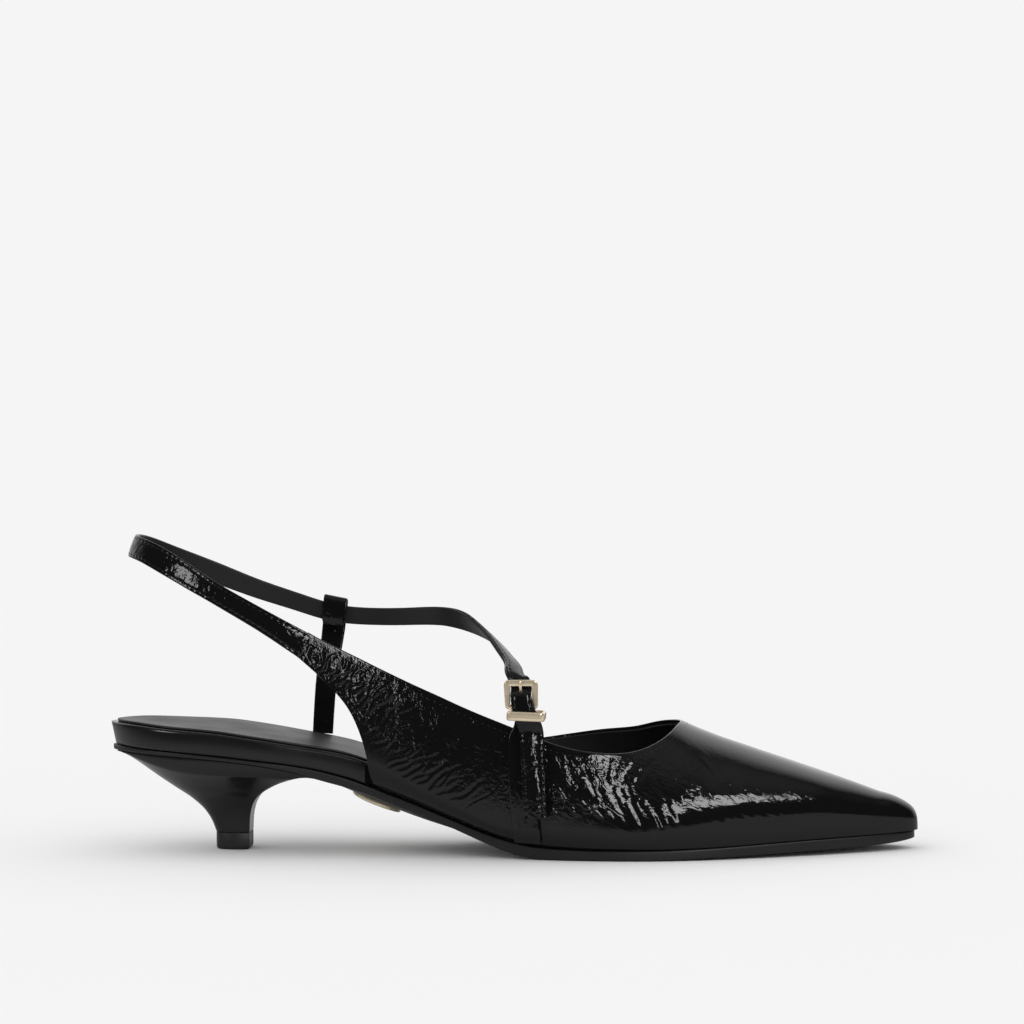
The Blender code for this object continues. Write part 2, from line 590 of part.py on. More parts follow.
def make_heel():
    rings = [heel_section(w) for w in (0, 0.06, 0.12, 0.18, 0.24, 0.3, 0.36, 0.43, 0.5, 0.58, 0.66,
                                       0.74, 0.82, 0.91, 1.0)]
    solid("heel", spread(rings), (0.012, 0.012, 0.013), 0.25, caps="strip")
    top = heel_section(0.0, 0.05)
    piece = []
    for z, inset in ((5.9 - GAP * 0.7, 0.0), (1.0, 0.1), (0.4, 0.25), (0.0, 0.6)):
        ring = heel_section(0.0, inset)
        ring[:, 2] = z
        piece.append(ring)
    solid("top_piece", spread(piece), (0.02, 0.02, 0.02), 0.6, caps="strip")


def spread(rings):
    """Rings that start at the single back point, doubled so that both halves match."""
    out = []
    for ring in rings:
        back = ring[0].copy()
        a, b = back.copy(), back.copy()
        step = 0.12 * abs(ring[1][1])
        a[1], b[1] = -step, step
        out.append(np.vstack([[a], ring[1:], [b]]))
    return out


def make_plaque():
    a = np.linspace(0, 2 * np.pi, 32, endpoint=False)
    rings = []
    for r, drop in ((0.93, 0.0), (1.0, 0.25), (1.0, 1.3), (0.9, 1.7)):
        x = -46.6 + 8.0 * r * np.cos(a)
        y = -2.2 + 6.2 * r * np.sin(a)
        z = under_z(x, y) - 0.35 - drop
        rings.append(np.stack([x, y, z], 1))
    solid("sole_plaque", np.roll(np.array(rings), 0, axis=1), (0.86, 0.68, 0.42), 0.25, 1.0,
          caps="strip")


def make_stays():
    # The stay on the inner side stands on the insole, goes up outside the strap, folds over it,
    # and comes down inside it.
    path = [(-67.4, 23.5, 36.6), (-66.8, 24.2, 47), (-65.8, 26.2, 59), (-64.5, 28.8, 68.5),
            (-63.8, 29.7, 74.5), (-63.3, 29.7, 79.8), (-63.0, 29.0, 82.0), (-63.0, 27.4, 82.8),
            (-63.0, 25.9, 82.0), (-63.1, 25.3, 79.6), (-63.3, 25.3, 77.6), (-63.6, 25.4, 75.6),
            (-63.8, 25.8, 73.9)]
    path = np.array(path, float)
    across = np.tile([1.0, 0.0, -0.1], (len(path), 1))
    across[5:10, 2] = -0.2
    wide = np.array([7.0, 7.1, 7.3, 7.7, 8.0, 8.2, 8.2, 8.2, 8.2, 8.2, 8.2, 8.0, 6.9])
    rings = ribbon(path, across, wide, 1.4, 3)
    solid("side_stay", rings, (0.02, 0.02, 0.021), 0.35)

    # The strip that holds the buckle lies on the outer side, from the sole up past the topline.
    mids, acrosses, wides = [], [], []
    for z, x, w in ((6.6, 6.4, 9.2), (9.2, 6.1, 9.2), (12, 5.8, 9.2), (18, 5.3, 9.3), (26, 4.8, 9.4),
                    (34, 4.4, 9.4), (39.5, 4.5, 9.2), (43.8, 5.3, 7.2), (48.4, 5.5, 6.9)):
        spot = last_point(x, find_f(x, -1, z=z))
        lift = 0.35 + STRIP_THICK / 2 + (1.9 if z > 46 else 0.3 if z > 42 else 0.0)
        mids.append(spot + wall_normal(x, z) * lift)
        acrosses.append(wall_back(x, z))
        wides.append(w)
    rings = ribbon(np.array(mids), np.array(acrosses), np.array(wides), STRIP_THICK, 3)
    solid("buckle_stay", rings, (0.012, 0.012, 0.013), 0.22)


def loop_rings(corners, width_dir, wide, thick, round_by=1.0, edge=0.25):
    """A closed band of flat bar through the corners, rounded at each. thick is the bar's thickness
    at each corner, or one value for them all, and edge is the size of its bevels."""
    pts = []
    n = len(corners)
    c = np.array(corners, float)
    for i in range(n):
        before = c[i - 1] - c[i]
        after = c[(i + 1) % n] - c[i]
        before *= round_by / np.linalg.norm(before)
        after *= round_by / np.linalg.norm(after)
        for t in (0.0, 0.5, 1.0):
            pts.append(c[i] + before * (1 - t) ** 2 + after * t * t)
    pts = np.array(pts)
    tangent = np.roll(pts, -1, axis=0) - np.roll(pts, 1, axis=0)
    tangent /= np.linalg.norm(tangent, axis=1)[:, None]
    w = np.tile(np.array(width_dir, float), (len(pts), 1))
    w /= np.linalg.norm(w, axis=1)[:, None]
    n = np.cross(w, tangent)
    n /= np.linalg.norm(n, axis=1)[:, None]
    e = edge
    at_corner = np.repeat(np.broadcast_to(np.asarray(thick, float), len(corners)), 3)
    shape = [(1, 1, 0), (1, 1, 1), (-1, 1, 1), (-1, 1, 0), (-1, -1, 0), (-1, -1, 1), (1, -1, 1),
             (1, -1, 0)]
    rings = np.empty((len(pts), 8, 3))
    for j, (sw, sn, flat) in enumerate(shape):
        a = wide / 2 - (e if flat else 0)
        b = at_corner / 2 - (0 if flat else e)
        rings[:, j] = pts + w * sw * a + n * (sn * b)[:, None]
    return rings


BUCKLE = (4.3, -35.0)


def make_buckle():
    # The frame's upper bar is broad, and its sides thin out a little to the lower bar.
    x, y = BUCKLE
    corners = [(x - 4.6, y, 58.65), (x + 4.5, y, 58.65), (x + 4.7, y, 50.8), (x - 4.4, y, 50.8)]
    rings = loop_rings(corners, (0, 1, 0), 1.5, (2.1, 2.1, 1.7, 1.7), 1.3, 0.35)
    solid("buckle_frame", rings, (0.86, 0.68, 0.42), 0.25, 1.0, closed_path=True)

    a = np.linspace(0, 2 * np.pi, 10, endpoint=False)
    path = spline([(4.3, -34.9, 52.3), (4.3, -34.7, 53.8), (4.25, -35.2, 55.6),
                   (4.2, -36.3, 57.2), (4.1, -36.65, 58.4), (4.0, -36.65, 59.4)], 16)
    t = np.gradient(path, axis=0)
    t /= np.linalg.norm(t, axis=1)[:, None]
    side = np.tile([1.0, 0, 0], (len(path), 1))
    n = np.cross(side, t)
    rings = []
    for i in range(len(path)):
        r = 0.5 if i < len(path) - 1 else 0.3
        rings.append(path[i] + r * (np.cos(a)[:, None] * side[i] + np.sin(a)[:, None] * n[i]))
    solid("buckle_prong", rings, (0.86, 0.68, 0.42), 0.25, 1.0)

    corners = [(0.3, -39.3, 48.2), (11.6, -39.3, 47.7), (11.7, -29.8, 47.7), (0.4, -29.8, 48.2)]
    rings = loop_rings(corners, (0.05, 0, 1), 3.0, 1.2, 1.2, 0.4)
    solid("buckle_keeper", rings, (0.86, 0.68, 0.42), 0.25, 1.0, closed_path=True)


def make_strap():
    mid, across, wide = strap_edges()
    rings = ribbon(mid, across, wide, STRAP_THICK, 3)
    strap = solid("sling_strap", rings, (0.012, 0.012, 0.013), 0.22)
    a = np.linspace(0, 2 * np.pi, 16, endpoint=False)
    rings = []
    for t in (0.0, 1.0):
        c = np.array([4.27, -34.3, 53.6]) * (1 - t) + np.array([4.2, -37.1, 57.7]) * t
        rings.append(c + np.stack([1.15 * np.cos(a), -0.95 * np.sin(a) * 0.8,
                                   0.95 * np.sin(a) * -0.55], 1))
    verts, faces = tube(rings)
    cutter = body("prong_hole", verts, outward(verts, faces), (0.5, 0.5, 0.5), 0.5)
    cutter.hide_render = True
    cutter.display_type = "WIRE"
    bpy.context.scene.collection.objects.unlink(cutter)
    helpers = bpy.data.collections.new("cutters")
    bpy.context.scene.collection.children.link(helpers)
    helpers.objects.link(cutter)
    cut = strap.modifiers.new("prong_hole", "BOOLEAN")
    cut.operation = "DIFFERENCE"
    cut.solver = "EXACT"
    cut.object = cutter


clear_scene()
make_soles()
make_heel()
make_upper()
make_strap()
make_stays()
make_buckle()
make_plaque()
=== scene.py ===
"""Right slingback pump in crinkled black patent leather: its looks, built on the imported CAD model."""

import bpy
import numpy as np
from mathutils import Matrix


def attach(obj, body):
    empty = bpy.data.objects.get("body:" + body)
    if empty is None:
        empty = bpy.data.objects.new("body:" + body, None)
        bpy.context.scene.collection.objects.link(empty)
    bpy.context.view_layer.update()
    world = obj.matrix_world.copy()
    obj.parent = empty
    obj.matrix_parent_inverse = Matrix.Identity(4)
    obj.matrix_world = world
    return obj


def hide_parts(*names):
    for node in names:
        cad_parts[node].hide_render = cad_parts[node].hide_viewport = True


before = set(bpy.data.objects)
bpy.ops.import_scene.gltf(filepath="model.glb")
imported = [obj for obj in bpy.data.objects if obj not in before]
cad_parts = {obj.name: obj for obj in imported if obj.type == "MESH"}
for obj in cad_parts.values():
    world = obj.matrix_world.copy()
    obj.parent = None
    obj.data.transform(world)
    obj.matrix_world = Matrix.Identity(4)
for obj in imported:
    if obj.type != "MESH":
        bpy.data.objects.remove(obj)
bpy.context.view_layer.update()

# The camera.
# The photograph is taken from the outer side, 1.4 m away, a little above the floor and a little
# towards the toe, with a long lens and the shoe in the lower half of the frame.
CAMERA_PLACE = (0.08579, -1.38963, 0.17202)
CAMERA_RIGHT = (0.99811, 0.06112, -0.00610)
CAMERA_UP = (0.00352, 0.04232, 0.99910)
CAMERA_LENS = 146.05
CAMERA_SENSOR = 36.0
CAMERA_CLIP = (0.05, 50.0)


def set_up(name, data, right, up, back, place):
    """Puts a camera or a light into the scene at its place, turned to its three axes."""
    thing = bpy.data.objects.new(name, data)
    turned = np.eye(4)
    turned[:3, :3] = np.stack([right, up, back], 1)
    turned[:3, 3] = place
    thing.matrix_world = Matrix(turned.tolist())
    bpy.context.scene.collection.objects.link(thing)
    return thing


lens = bpy.data.cameras.new("camera")
lens.lens = CAMERA_LENS
lens.sensor_width = CAMERA_SENSOR
lens.clip_start, lens.clip_end = CAMERA_CLIP
camera_back = np.cross(CAMERA_RIGHT, CAMERA_UP)
bpy.context.scene.camera = set_up("camera", lens, CAMERA_RIGHT, CAMERA_UP, camera_back, CAMERA_PLACE)


# The outsole.
# A thin sole of black leather, cut to the last's outline and cemented on. Its edge is trimmed
# square, dyed and polished, it lies flat under the ball, and it bends up through the waist.
MM = 0.001
ON_THE_FLOOR = np.array([0.65, 2.291, 0.0])

# The sole's outline in millimetres, x to the toe and y to the inner side, and then heights and
# insets: a table pairs each x with the value there.
SOLE_OUTLINE = [
    (-136.9, 0), (-134.6, -6.5), (-130.2, -12), (-123.3, -17.4), (-109.7, -22.9), (-93.4, -25.9),
    (-77, -25.6), (-55, -23.4), (-33.5, -23.8), (-11.8, -28.1), (10, -33), (31.7, -36.4),
    (48, -36.4), (64.4, -33.6), (80.7, -28.2), (97, -21.6), (113.3, -14), (124.2, -8.4),
    (131.2, -4), (134.5, -0.4), (135.2, 3), (134.2, 6.6), (130.4, 10.3), (124.2, 13.4),
    (113.3, 18), (97, 24.2), (80.7, 29.8), (64.4, 33.8), (48, 35), (31.7, 32.2), (10, 26.2),
    (-11.8, 20.8), (-33.5, 18.8), (-55, 20.9), (-77, 24.8), (-93.4, 25.8), (-109.7, 22.9),
    (-123.3, 17.5), (-130.2, 12.2), (-134.6, 6.6),
]
SEAM_HEIGHT = [
    (-137, 35.5), (-120, 34.7), (-98, 33.2), (-88, 32.1), (-70, 29.6), (-55, 25.9), (-44, 21.8),
    (-34, 18.1), (-22, 13.4), (-8, 8.1), (1, 5.5), (9, 4.2), (17, 3.6), (30, 3.3), (43, 3.3),
    (68, 3.9), (90, 4.8), (106, 5.3), (121, 5.6), (132, 6.0), (136, 6.1),
]
UNDERSIDE_HEIGHT = [
    (-137, 33.9), (-120, 33.3), (-98, 31.9), (-88, 30.8), (-75, 28.5), (-63.6, 25.3), (-51, 21.7),
    (-36, 15.9), (-22, 10.8), (-8, 5.0), (-1, 2.4), (5, 0.8), (9, 0.2), (12, 0), (46, 0),
    (62, 0.5), (80, 1.0), (100, 1.6), (119, 2.2), (128, 2.8), (136, 4.0),
]
WAIST_HANG = [(-137, 0), (-66, 0), (-57, 1.7), (-48, 2.8), (-30, 2.6), (-12, 1.2), (4, 0), (136, 0)]
OUTSOLE_INSET = [(-140, 0.9), (-75, 0.9), (-52, 0.1), (118, 0.1), (131, 0.9), (140, 1.3)]
SOLE_BLACK = (0.0085, 0.0085, 0.0088)
OUTLINE_POINTS = 4001
END_MARGIN = 0.05
WAIST_FLAT = 0.35
GLOSS_SPREAD = 0.06


def along(x, table):
    """The value at x through the table's (x, value) pairs: cubic pieces whose slope at each pair
    is the weighted harmonic mean of the slopes beside it, so nothing overshoots."""
    xs, ys = np.array(table, float).T
    h = np.diff(xs)
    d = np.diff(ys) / h
    m = np.empty_like(ys)
    m[0], m[-1] = d[0], d[-1]
    same = d[:-1] * d[1:] > 0
    d0 = np.where(same, d[:-1], 1.0)
    d1 = np.where(same, d[1:], 1.0)
    w0 = 2 * h[1:] + h[:-1]
    w1 = h[1:] + 2 * h[:-1]
    m[1:-1] = np.where(same, (w0 + w1) / (w0 / d0 + w1 / d1), 0.0)
    x = np.clip(np.asarray(x, float), xs[0], xs[-1])
    i = np.clip(np.searchsorted(xs, x, side="right") - 1, 0, len(h) - 1)
    t = (x - xs[i]) / h[i]
    low = (1 + 2 * t) * (1 - t) ** 2 * ys[i] + t * (1 - t) ** 2 * h[i] * m[i]
    high = t * t * (3 - 2 * t) * ys[i + 1] + t * t * (t - 1) * h[i] * m[i + 1]
    return low + high


def curve_through(points, count, closed=False, at=None):
    """A natural cubic spline through the points, spaced by chord length: count points evenly along
    it, or one at each place in at, which counts from 0 to 1 over the list of points."""
    p = np.asarray(points, float)
    if closed:
        p = np.vstack([p, p[:1]])
    n = len(p) - 1
    h = np.maximum(np.linalg.norm(np.diff(p, axis=0), axis=1), 1e-6)
    knots = np.concatenate([[0.0], np.cumsum(h)])
    d = np.diff(p, axis=0) / h[:, None]
    a = np.zeros((n + 1, n + 1))
    b = np.zeros((n + 1, p.shape[1]))
    i = np.arange(1, n)
    a[i, i - 1], a[i, i], a[i, i + 1] = h[:-1], 2 * (h[:-1] + h[1:]), h[1:]
    b[1:n] = 6 * np.diff(d, axis=0)
    if closed:
        a[0, 0], a[0, n] = 1, -1
        a[n, 0], a[n, 1], a[n, n - 1], a[n, n] = 2 * h[0], h[0], h[n - 1], 2 * h[n - 1]
        b[n] = 6 * (d[0] - d[n - 1])
    else:
        a[0, 0] = a[n, n] = 1
    m = np.linalg.solve(a, b)
    if at is None:
        s = np.linspace(0, knots[-1], count)
    else:
        s = np.interp(np.asarray(at, float) * n, np.arange(n + 1), knots)
    i = np.clip(np.searchsorted(knots, s, side="right") - 1, 0, n - 1)
    hh = h[i][:, None]
    t = (s - knots[i])[:, None] / hh
    u = 1 - t
    bend = ((u**3 - u) * m[i] + (t**3 - t) * m[i + 1]) * hh * hh / 6
    return u * p[i] + t * p[i + 1] + bend


def unit(v):
    """The vectors along the last axis, each brought to length one."""
    return v / np.maximum(np.linalg.norm(v, axis=-1, keepdims=True), 1e-9)


def soft_step(t):
    """0 up to t = 0 and 1 from t = 1 on, and between them three t squared less two t cubed."""
    t = np.clip(t, 0, 1)
    return t * t * (3 - 2 * t)


def outline_sides(inset_table):
    """The outer and the inner edge, as (x, y) rows, of the sole's outline moved in along its own
    normal by the inset given at each x."""
    p = curve_through(SOLE_OUTLINE, OUTLINE_POINTS, closed=True)[:-1]
    t = np.roll(p, -1, axis=0) - np.roll(p, 1, axis=0)
    n = unit(np.stack([-t[:, 1], t[:, 0]], 1))
    q = p + n * along(p[:, 0], inset_table)[:, None]
    lo, hi = int(q[:, 0].argmin()), int(q[:, 0].argmax())
    first = np.roll(q, -lo, axis=0)[: (hi - lo) % len(q) + 1]
    second = np.roll(q, -hi, axis=0)[: (lo - hi) % len(q) + 1]
    first = first[np.argsort(first[:, 0])]
    second = second[np.argsort(second[:, 0])]
    return (first, second) if first[:, 1].mean() < second[:, 1].mean() else (second, first)


def edge_y(sides, x):
    """The outer and the inner edge's y at each x."""
    return tuple(np.interp(x, side[:, 0], side[:, 1]) for side in sides)


SOLE_EDGE = outline_sides([(-140, 0), (140, 0)])


def underside(x, y):
    """The sole's underside: the edge's height, less the waist's hang, which is whole over the flat
    middle of the width and eases off towards the edge."""
    outer, inner = edge_y(SOLE_EDGE, x)
    half = np.maximum((inner - outer) / 2, 0.5)
    off_middle = np.clip(np.abs(y - (outer + inner) / 2) / half, 0, 1)
    drop = 1 - soft_step((off_middle - WAIST_FLAT) / (1 - WAIST_FLAT))
    return along(x, UNDERSIDE_HEIGHT) - along(x, WAIST_HANG) * drop


def surface(table, lift=0.0):
    """A surface whose height is the table's value at x plus the lift, whatever the y."""
    return lambda x, y: along(x, table) + lift


def ring_faces(n, k, loop=False):
    """Four-sided faces between n rings of k points, and round again to the first ring in a loop."""
    i = np.arange(n if loop else n - 1)[:, None]
    j = np.arange(k)[None, :]
    i2 = (i + 1) % n
    j2 = (j + 1) % k
    return np.stack([i * k + j, i * k + j2, i2 * k + j2, i2 * k + j], -1).reshape(-1, 4)


def leather_piece(name, rings, finish, stands_for, loop=False, caps="strip", sharp=40.0, lay=None):
    """A closed body skinned over rings of points in millimetres. A strip cap joins the first half
    of an end ring to its second half, and a fan cap meets in its middle. Faces are turned out by
    the sign of the body's volume. lay is a value in millimetres at each point for the material."""
    n, k = rings.shape[:2]
    points = rings.reshape(-1, 3)
    faces = ring_faces(n, k, loop).tolist()
    for start, turn in () if loop else ((0, 1), ((n - 1) * k, -1)):
        if caps == "strip":
            j = np.arange(k // 2 - 1)
            cap = np.stack([j + 1, j, k - 1 - j, k - 2 - j], -1) + start
        else:
            j = np.arange(k)
            cap = np.stack([start + (j + 1) % k, start + j, np.full(k, len(points))], -1)
            points = np.vstack([points, points[start:start + k].mean(axis=0)])
        faces += cap[:, ::turn].tolist()
    mesh = bpy.data.meshes.new(name)
    mesh.from_pydata(((points + ON_THE_FLOOR) * MM).tolist(), [], faces)
    mesh.calc_loop_triangles()
    corners = np.empty(len(mesh.loop_triangles) * 3, np.int32)
    mesh.loop_triangles.foreach_get("vertices", corners)
    tri = points[corners.reshape(-1, 3)]
    if np.einsum("ij,ij->i", tri[:, 0], np.cross(tri[:, 1], tri[:, 2])).sum() < 0:
        mesh.flip_normals()
    mesh.shade_smooth()
    mesh.set_sharp_from_angle(angle=np.radians(sharp))
    if lay is not None:
        mesh.attributes.new("lay", "FLOAT_VECTOR", "POINT").data.foreach_set("vector", lay.ravel())
    return dress(name, mesh, finish, stands_for)


def dress(name, mesh, finish, stands_for):
    mesh.validate()
    piece = bpy.data.objects.new(name, mesh)
    mesh.materials.append(finish)
    bpy.context.scene.collection.objects.link(piece)
    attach(piece, "root")
    if stands_for:
        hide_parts(*stands_for)
    return piece


def stations(sides, count):
    """Places along a flat body, closer together at its rounded ends: three fifths of a cosine's
    spacing and two fifths of an even one."""
    x0, x1 = sides[0][:, 0].min() + END_MARGIN, sides[0][:, 0].max() - END_MARGIN
    even = np.linspace(0, 1, count)
    return x0 + (x1 - x0) * (0.6 * (1 - np.cos(even * np.pi)) / 2 + 0.4 * even)


def plate(sides, top, bottom, rim, count, across):
    """Rings across a flat body. Each is a closed loop: over the top from the outer edge to the
    inner one, round a quarter-circle rim, back underneath, and round the rim again."""
    x = stations(sides, count)
    outer, inner = (edge[:, None] for edge in edge_y(sides, x))
    half = (inner - outer) / 2
    r = np.minimum(rim, half * 0.6)
    y = (outer + inner) / 2 + np.sin(np.linspace(-1, 1, across) * np.pi / 2)[None, :] * (half - r)
    over = np.broadcast_to(x[:, None], y.shape)
    z_top, z_low = top(over, y), bottom(over, y)
    rz = np.minimum(r, (z_top[:, :1] - z_low[:, :1]) * 0.45)
    turn = np.linspace(0, np.pi / 2, 6)[None, :]
    go, come = turn[:, 1:], turn[:, :-1]
    ys = np.concatenate([
        y, inner - r + r * np.sin(go), inner - r + r * np.cos(come),
        y[:, ::-1], outer + r - r * np.sin(go), outer + r - r * np.cos(come),
    ], 1)
    zs = np.concatenate([
        z_top, z_top[:, -1:] - rz + rz * np.cos(go), z_low[:, -1:] + rz - rz * np.sin(come),
        z_low[:, ::-1], z_low[:, :1] + rz - rz * np.cos(go), z_top[:, :1] - rz + rz * np.sin(come),
    ], 1)
    return np.stack([np.broadcast_to(x[:, None], ys.shape), ys, zs], -1)


def fill(tree, made, feeds):
    """Fills in a node's inputs by name or place: each is a socket to link from or a value to hold."""
    for key, value in feeds.items():
        if isinstance(value, bpy.types.NodeSocket):
            tree.links.new(value, made.inputs[key])
        else:
            made.inputs[key].default_value = value


def node(tree, kind, feeds=None, **settings):
    """A new node in a material, a group or the world, with its settings and its inputs."""
    made = tree.nodes.new("ShaderNode" + kind)
    for key, value in settings.items():
        setattr(made, key, value)
    fill(tree, made, feeds or {})
    return made


def maths(tree, operation, *values, kind="Math"):
    """The result of one step of arithmetic on sockets or numbers."""
    return node(tree, kind, dict(enumerate(values)), operation=operation).outputs[0]


def graded(tree, value, start, stop, low, high, interpolation_type="LINEAR"):
    """A value carried from start and stop to low and high, and held at those outside them."""
    feeds = {"Value": value, "From Min": start, "From Max": stop, "To Min": low, "To Max": high}
    return node(tree, "MapRange", feeds, interpolation_type=interpolation_type).outputs["Result"]


def new_finish(name, colour, rough, metal=0.0, ior=1.5):
    """A material with one Principled shader, set up from its own sockets."""
    mat = bpy.data.materials.new(name)
    mat.use_nodes = True
    tree = mat.node_tree
    shader = tree.nodes["Principled BSDF"]
    fill(tree, shader, {"Base Color": (*colour, 1.0), "Roughness": rough, "Metallic": metal, "IOR": ior})
    return mat, tree, shader


def new_group(name, inputs, outputs):
    """An empty node group with the named inputs, as (name, kind, value), and named number outputs."""
    group = bpy.data.node_groups.new(name, "ShaderNodeTree")
    for title, kind, value in inputs:
        socket = group.interface.new_socket(title, in_out="INPUT", socket_type=kind)
        if value is not None:
            socket.default_value = value
    for title in outputs:
        group.interface.new_socket(title, in_out="OUTPUT", socket_type="NodeSocketFloat")
    return group, group.nodes.new("NodeGroupInput").outputs, group.nodes.new("NodeGroupOutput")


def leather_pores():
    """Height and cloud of plain leather: a fine noise whose grains are Grain Size millimetres wide,
    and a slow one for the gloss."""
    group, come, go = new_group(
        "leather_pores",
        [("Vector", "NodeSocketVector", None), ("Grain Size", "NodeSocketFloat", 1.0)],
        ["Height", "Cloud"],
    )
    per_metre = maths(group, "DIVIDE", 1 / MM, come["Grain Size"])
    grain = node(group, "TexNoise", {"Vector": come["Vector"], "Scale": per_metre, "Detail": 3.0,
                                     "Roughness": 0.6})
    cloud = node(group, "TexNoise", {"Vector": come["Vector"], "Scale": 60.0, "Detail": 2.0})
    fill(group, go, {"Height": grain.outputs["Fac"], "Cloud": cloud.outputs["Fac"]})
    return group


LEATHER_PORES = leather_pores()


def plain_leather(name, colour, rough, grain_mm, depth_mm):
    """Smooth leather: pores raise the surface, and a slow cloud shifts its gloss a little."""
    mat, tree, shader = new_finish(name, colour, rough)
    place = node(tree, "TexCoord")
    pores = node(tree, "Group", node_tree=LEATHER_PORES)
    fill(tree, pores, {"Vector": place.outputs["Object"], "Grain Size": grain_mm})
    raised = node(tree, "Bump", {"Height": pores.outputs["Height"], "Strength": 1.0,
                                 "Distance": depth_mm * MM})
    gloss = graded(tree, pores.outputs["Cloud"], 0.3, 0.7, rough - GLOSS_SPREAD, rough + GLOSS_SPREAD)
    fill(tree, shader, {"Roughness": gloss, "Normal": raised.outputs["Normal"]})
    return mat


sole_leather = plain_leather("sole_leather", SOLE_BLACK, rough=0.42, grain_mm=0.5, depth_mm=0.02)
sole_rings = plate(outline_sides(OUTSOLE_INSET), surface(SEAM_HEIGHT), underside,
                   rim=0.45, count=260, across=31)
leather_piece("outsole", sole_rings, sole_leather, ["outsole"])


# The metal disc.
# A small oval of pale gold metal, stamped thin and slightly domed, let into the waist of the sole.
# It is left bare.
GOLD = (0.97, 0.82, 0.6)
DISC_MIDDLE = (-46.6, -2.2)
DISC_HALF = (8.0, 6.2)
DISC_CLEAR = 0.35
DISC_PROFILE = [
    (0.93, 0.0), (0.985, 0.06), (1.0, 0.25), (1.0, 1.25), (0.985, 1.48), (0.95, 1.58), (0.88, 1.64),
    (0.7, 1.69), (0.4, 1.72), (0.1, 1.73),
]


def pale_gold():
    """Polished plated metal: a little uneven in gloss, with fine rubbed marks."""
    mat, tree, shader = new_finish("pale_gold", GOLD, rough=0.2, metal=0.62)
    place = node(tree, "TexCoord")
    rub = node(tree, "TexNoise", {"Vector": place.outputs["Object"], "Scale": 900.0, "Detail": 4.0})
    marks = node(tree, "Bump", {"Height": rub.outputs["Fac"], "Strength": 1.0, "Distance": 0.01 * MM})
    gloss = graded(tree, rub.outputs["Fac"], 0.0, 1.0, 0.1, 0.18)
    fill(tree, shader, {"Roughness": gloss, "Normal": marks.outputs["Normal"]})
    return mat


# The profile gives a share of the half axes and a drop below the sole, carried round the oval.
gold_metal = pale_gold()
round_disc = np.linspace(0, 2 * np.pi, 96, endpoint=False)[None, :]
disc_in, disc_drop = np.array(DISC_PROFILE).T[..., None]
disc_x = DISC_MIDDLE[0] + DISC_HALF[0] * disc_in * np.cos(round_disc)
disc_y = DISC_MIDDLE[1] + DISC_HALF[1] * disc_in * np.sin(round_disc)
disc_rings = np.stack([disc_x, disc_y, underside(disc_x, disc_y) - DISC_CLEAR - disc_drop], -1)
leather_piece("sole_plaque", disc_rings, gold_metal, ["sole_plaque"], caps="fan")


# The wrapped insole.
# The insole board is covered in smooth black leather that turns over its edge, so at the heel seat
# and waist it shows as a band above the outsole. It carries the sock, and the upper hides it in front.
COVER_BLACK = (0.0085, 0.0085, 0.009)
INSOLE_HEIGHT = [
    (-137, 43.2), (-129, 43.0), (-116, 42.1), (-98, 40.8), (-88, 39.4), (-72, 36.8), (-57, 34.1),
    (-50, 32.0), (-44, 29.4), (-34, 23.6), (-22, 17.4), (-8, 11.2), (1, 8.4), (9, 7.0), (17, 6.3),
    (30, 6.0), (43, 6.0), (68, 6.6), (90, 7.5), (106, 8.0), (121, 8.3), (136, 8.7),
]
COVER_INSET = [(-140, 0.2), (-48.3, 0.2), (-46.6, 3.3), (118, 3.3), (131, 4.4), (140, 4.8)]
GAP = 0.3
BACK_LEAN = 1.5
BACK_LEAN_FROM = -112.0
BACK_LEAN_LONG = 24.0

cover_leather = plain_leather("cover_leather", COVER_BLACK, rough=0.2, grain_mm=0.35, depth_mm=0.012)
cover_rings = plate(outline_sides(COVER_INSET), surface(INSOLE_HEIGHT), surface(SEAM_HEIGHT, GAP),
                    rim=1.1, count=260, across=21)
cover_top = cover_rings[..., 2].max(1)[:, None]
cover_low = cover_rings[..., 2].min(1)[:, None]
down = (cover_top - cover_rings[..., 2]) / (cover_top - cover_low)
near_back = np.clip((BACK_LEAN_FROM - cover_rings[..., 0]) / BACK_LEAN_LONG, 0, 1)
cover_rings[..., 0] += BACK_LEAN * down * near_back * near_back
leather_piece("insole", cover_rings, cover_leather, ["insole"])


# The sock.
# A matte black lining leather over thin foam, glued onto the insole about 2 mm inside its edge, with
# its cut edge turned down.
SOCK_BLACK = (0.02, 0.02, 0.0205)
SOCK_INSET = [(-140, 2.4), (-49, 2.4), (-45.5, 3.9), (118, 3.9), (131, 5.2), (140, 5.6)]
SOCK_UNDER = 0.1
SOCK_TOP = 0.95

sock_leather = plain_leather("sock_leather", SOCK_BLACK, rough=0.44, grain_mm=0.45, depth_mm=0.03)
sock_rings = plate(outline_sides(SOCK_INSET), surface(INSOLE_HEIGHT, SOCK_TOP),
                   surface(INSOLE_HEIGHT, SOCK_UNDER), rim=0.6, count=220, across=25)
leather_piece("sock_lining", sock_rings, sock_leather, ["sock_lining"])


# The heel.
# A moulded kitten heel of D section, flat at its breast and rounded at its back, wrapped tight in
# smooth black leather with a semi-gloss finish. It flares up into the heel seat.
HEEL_BLACK = (0.007, 0.007, 0.0074)
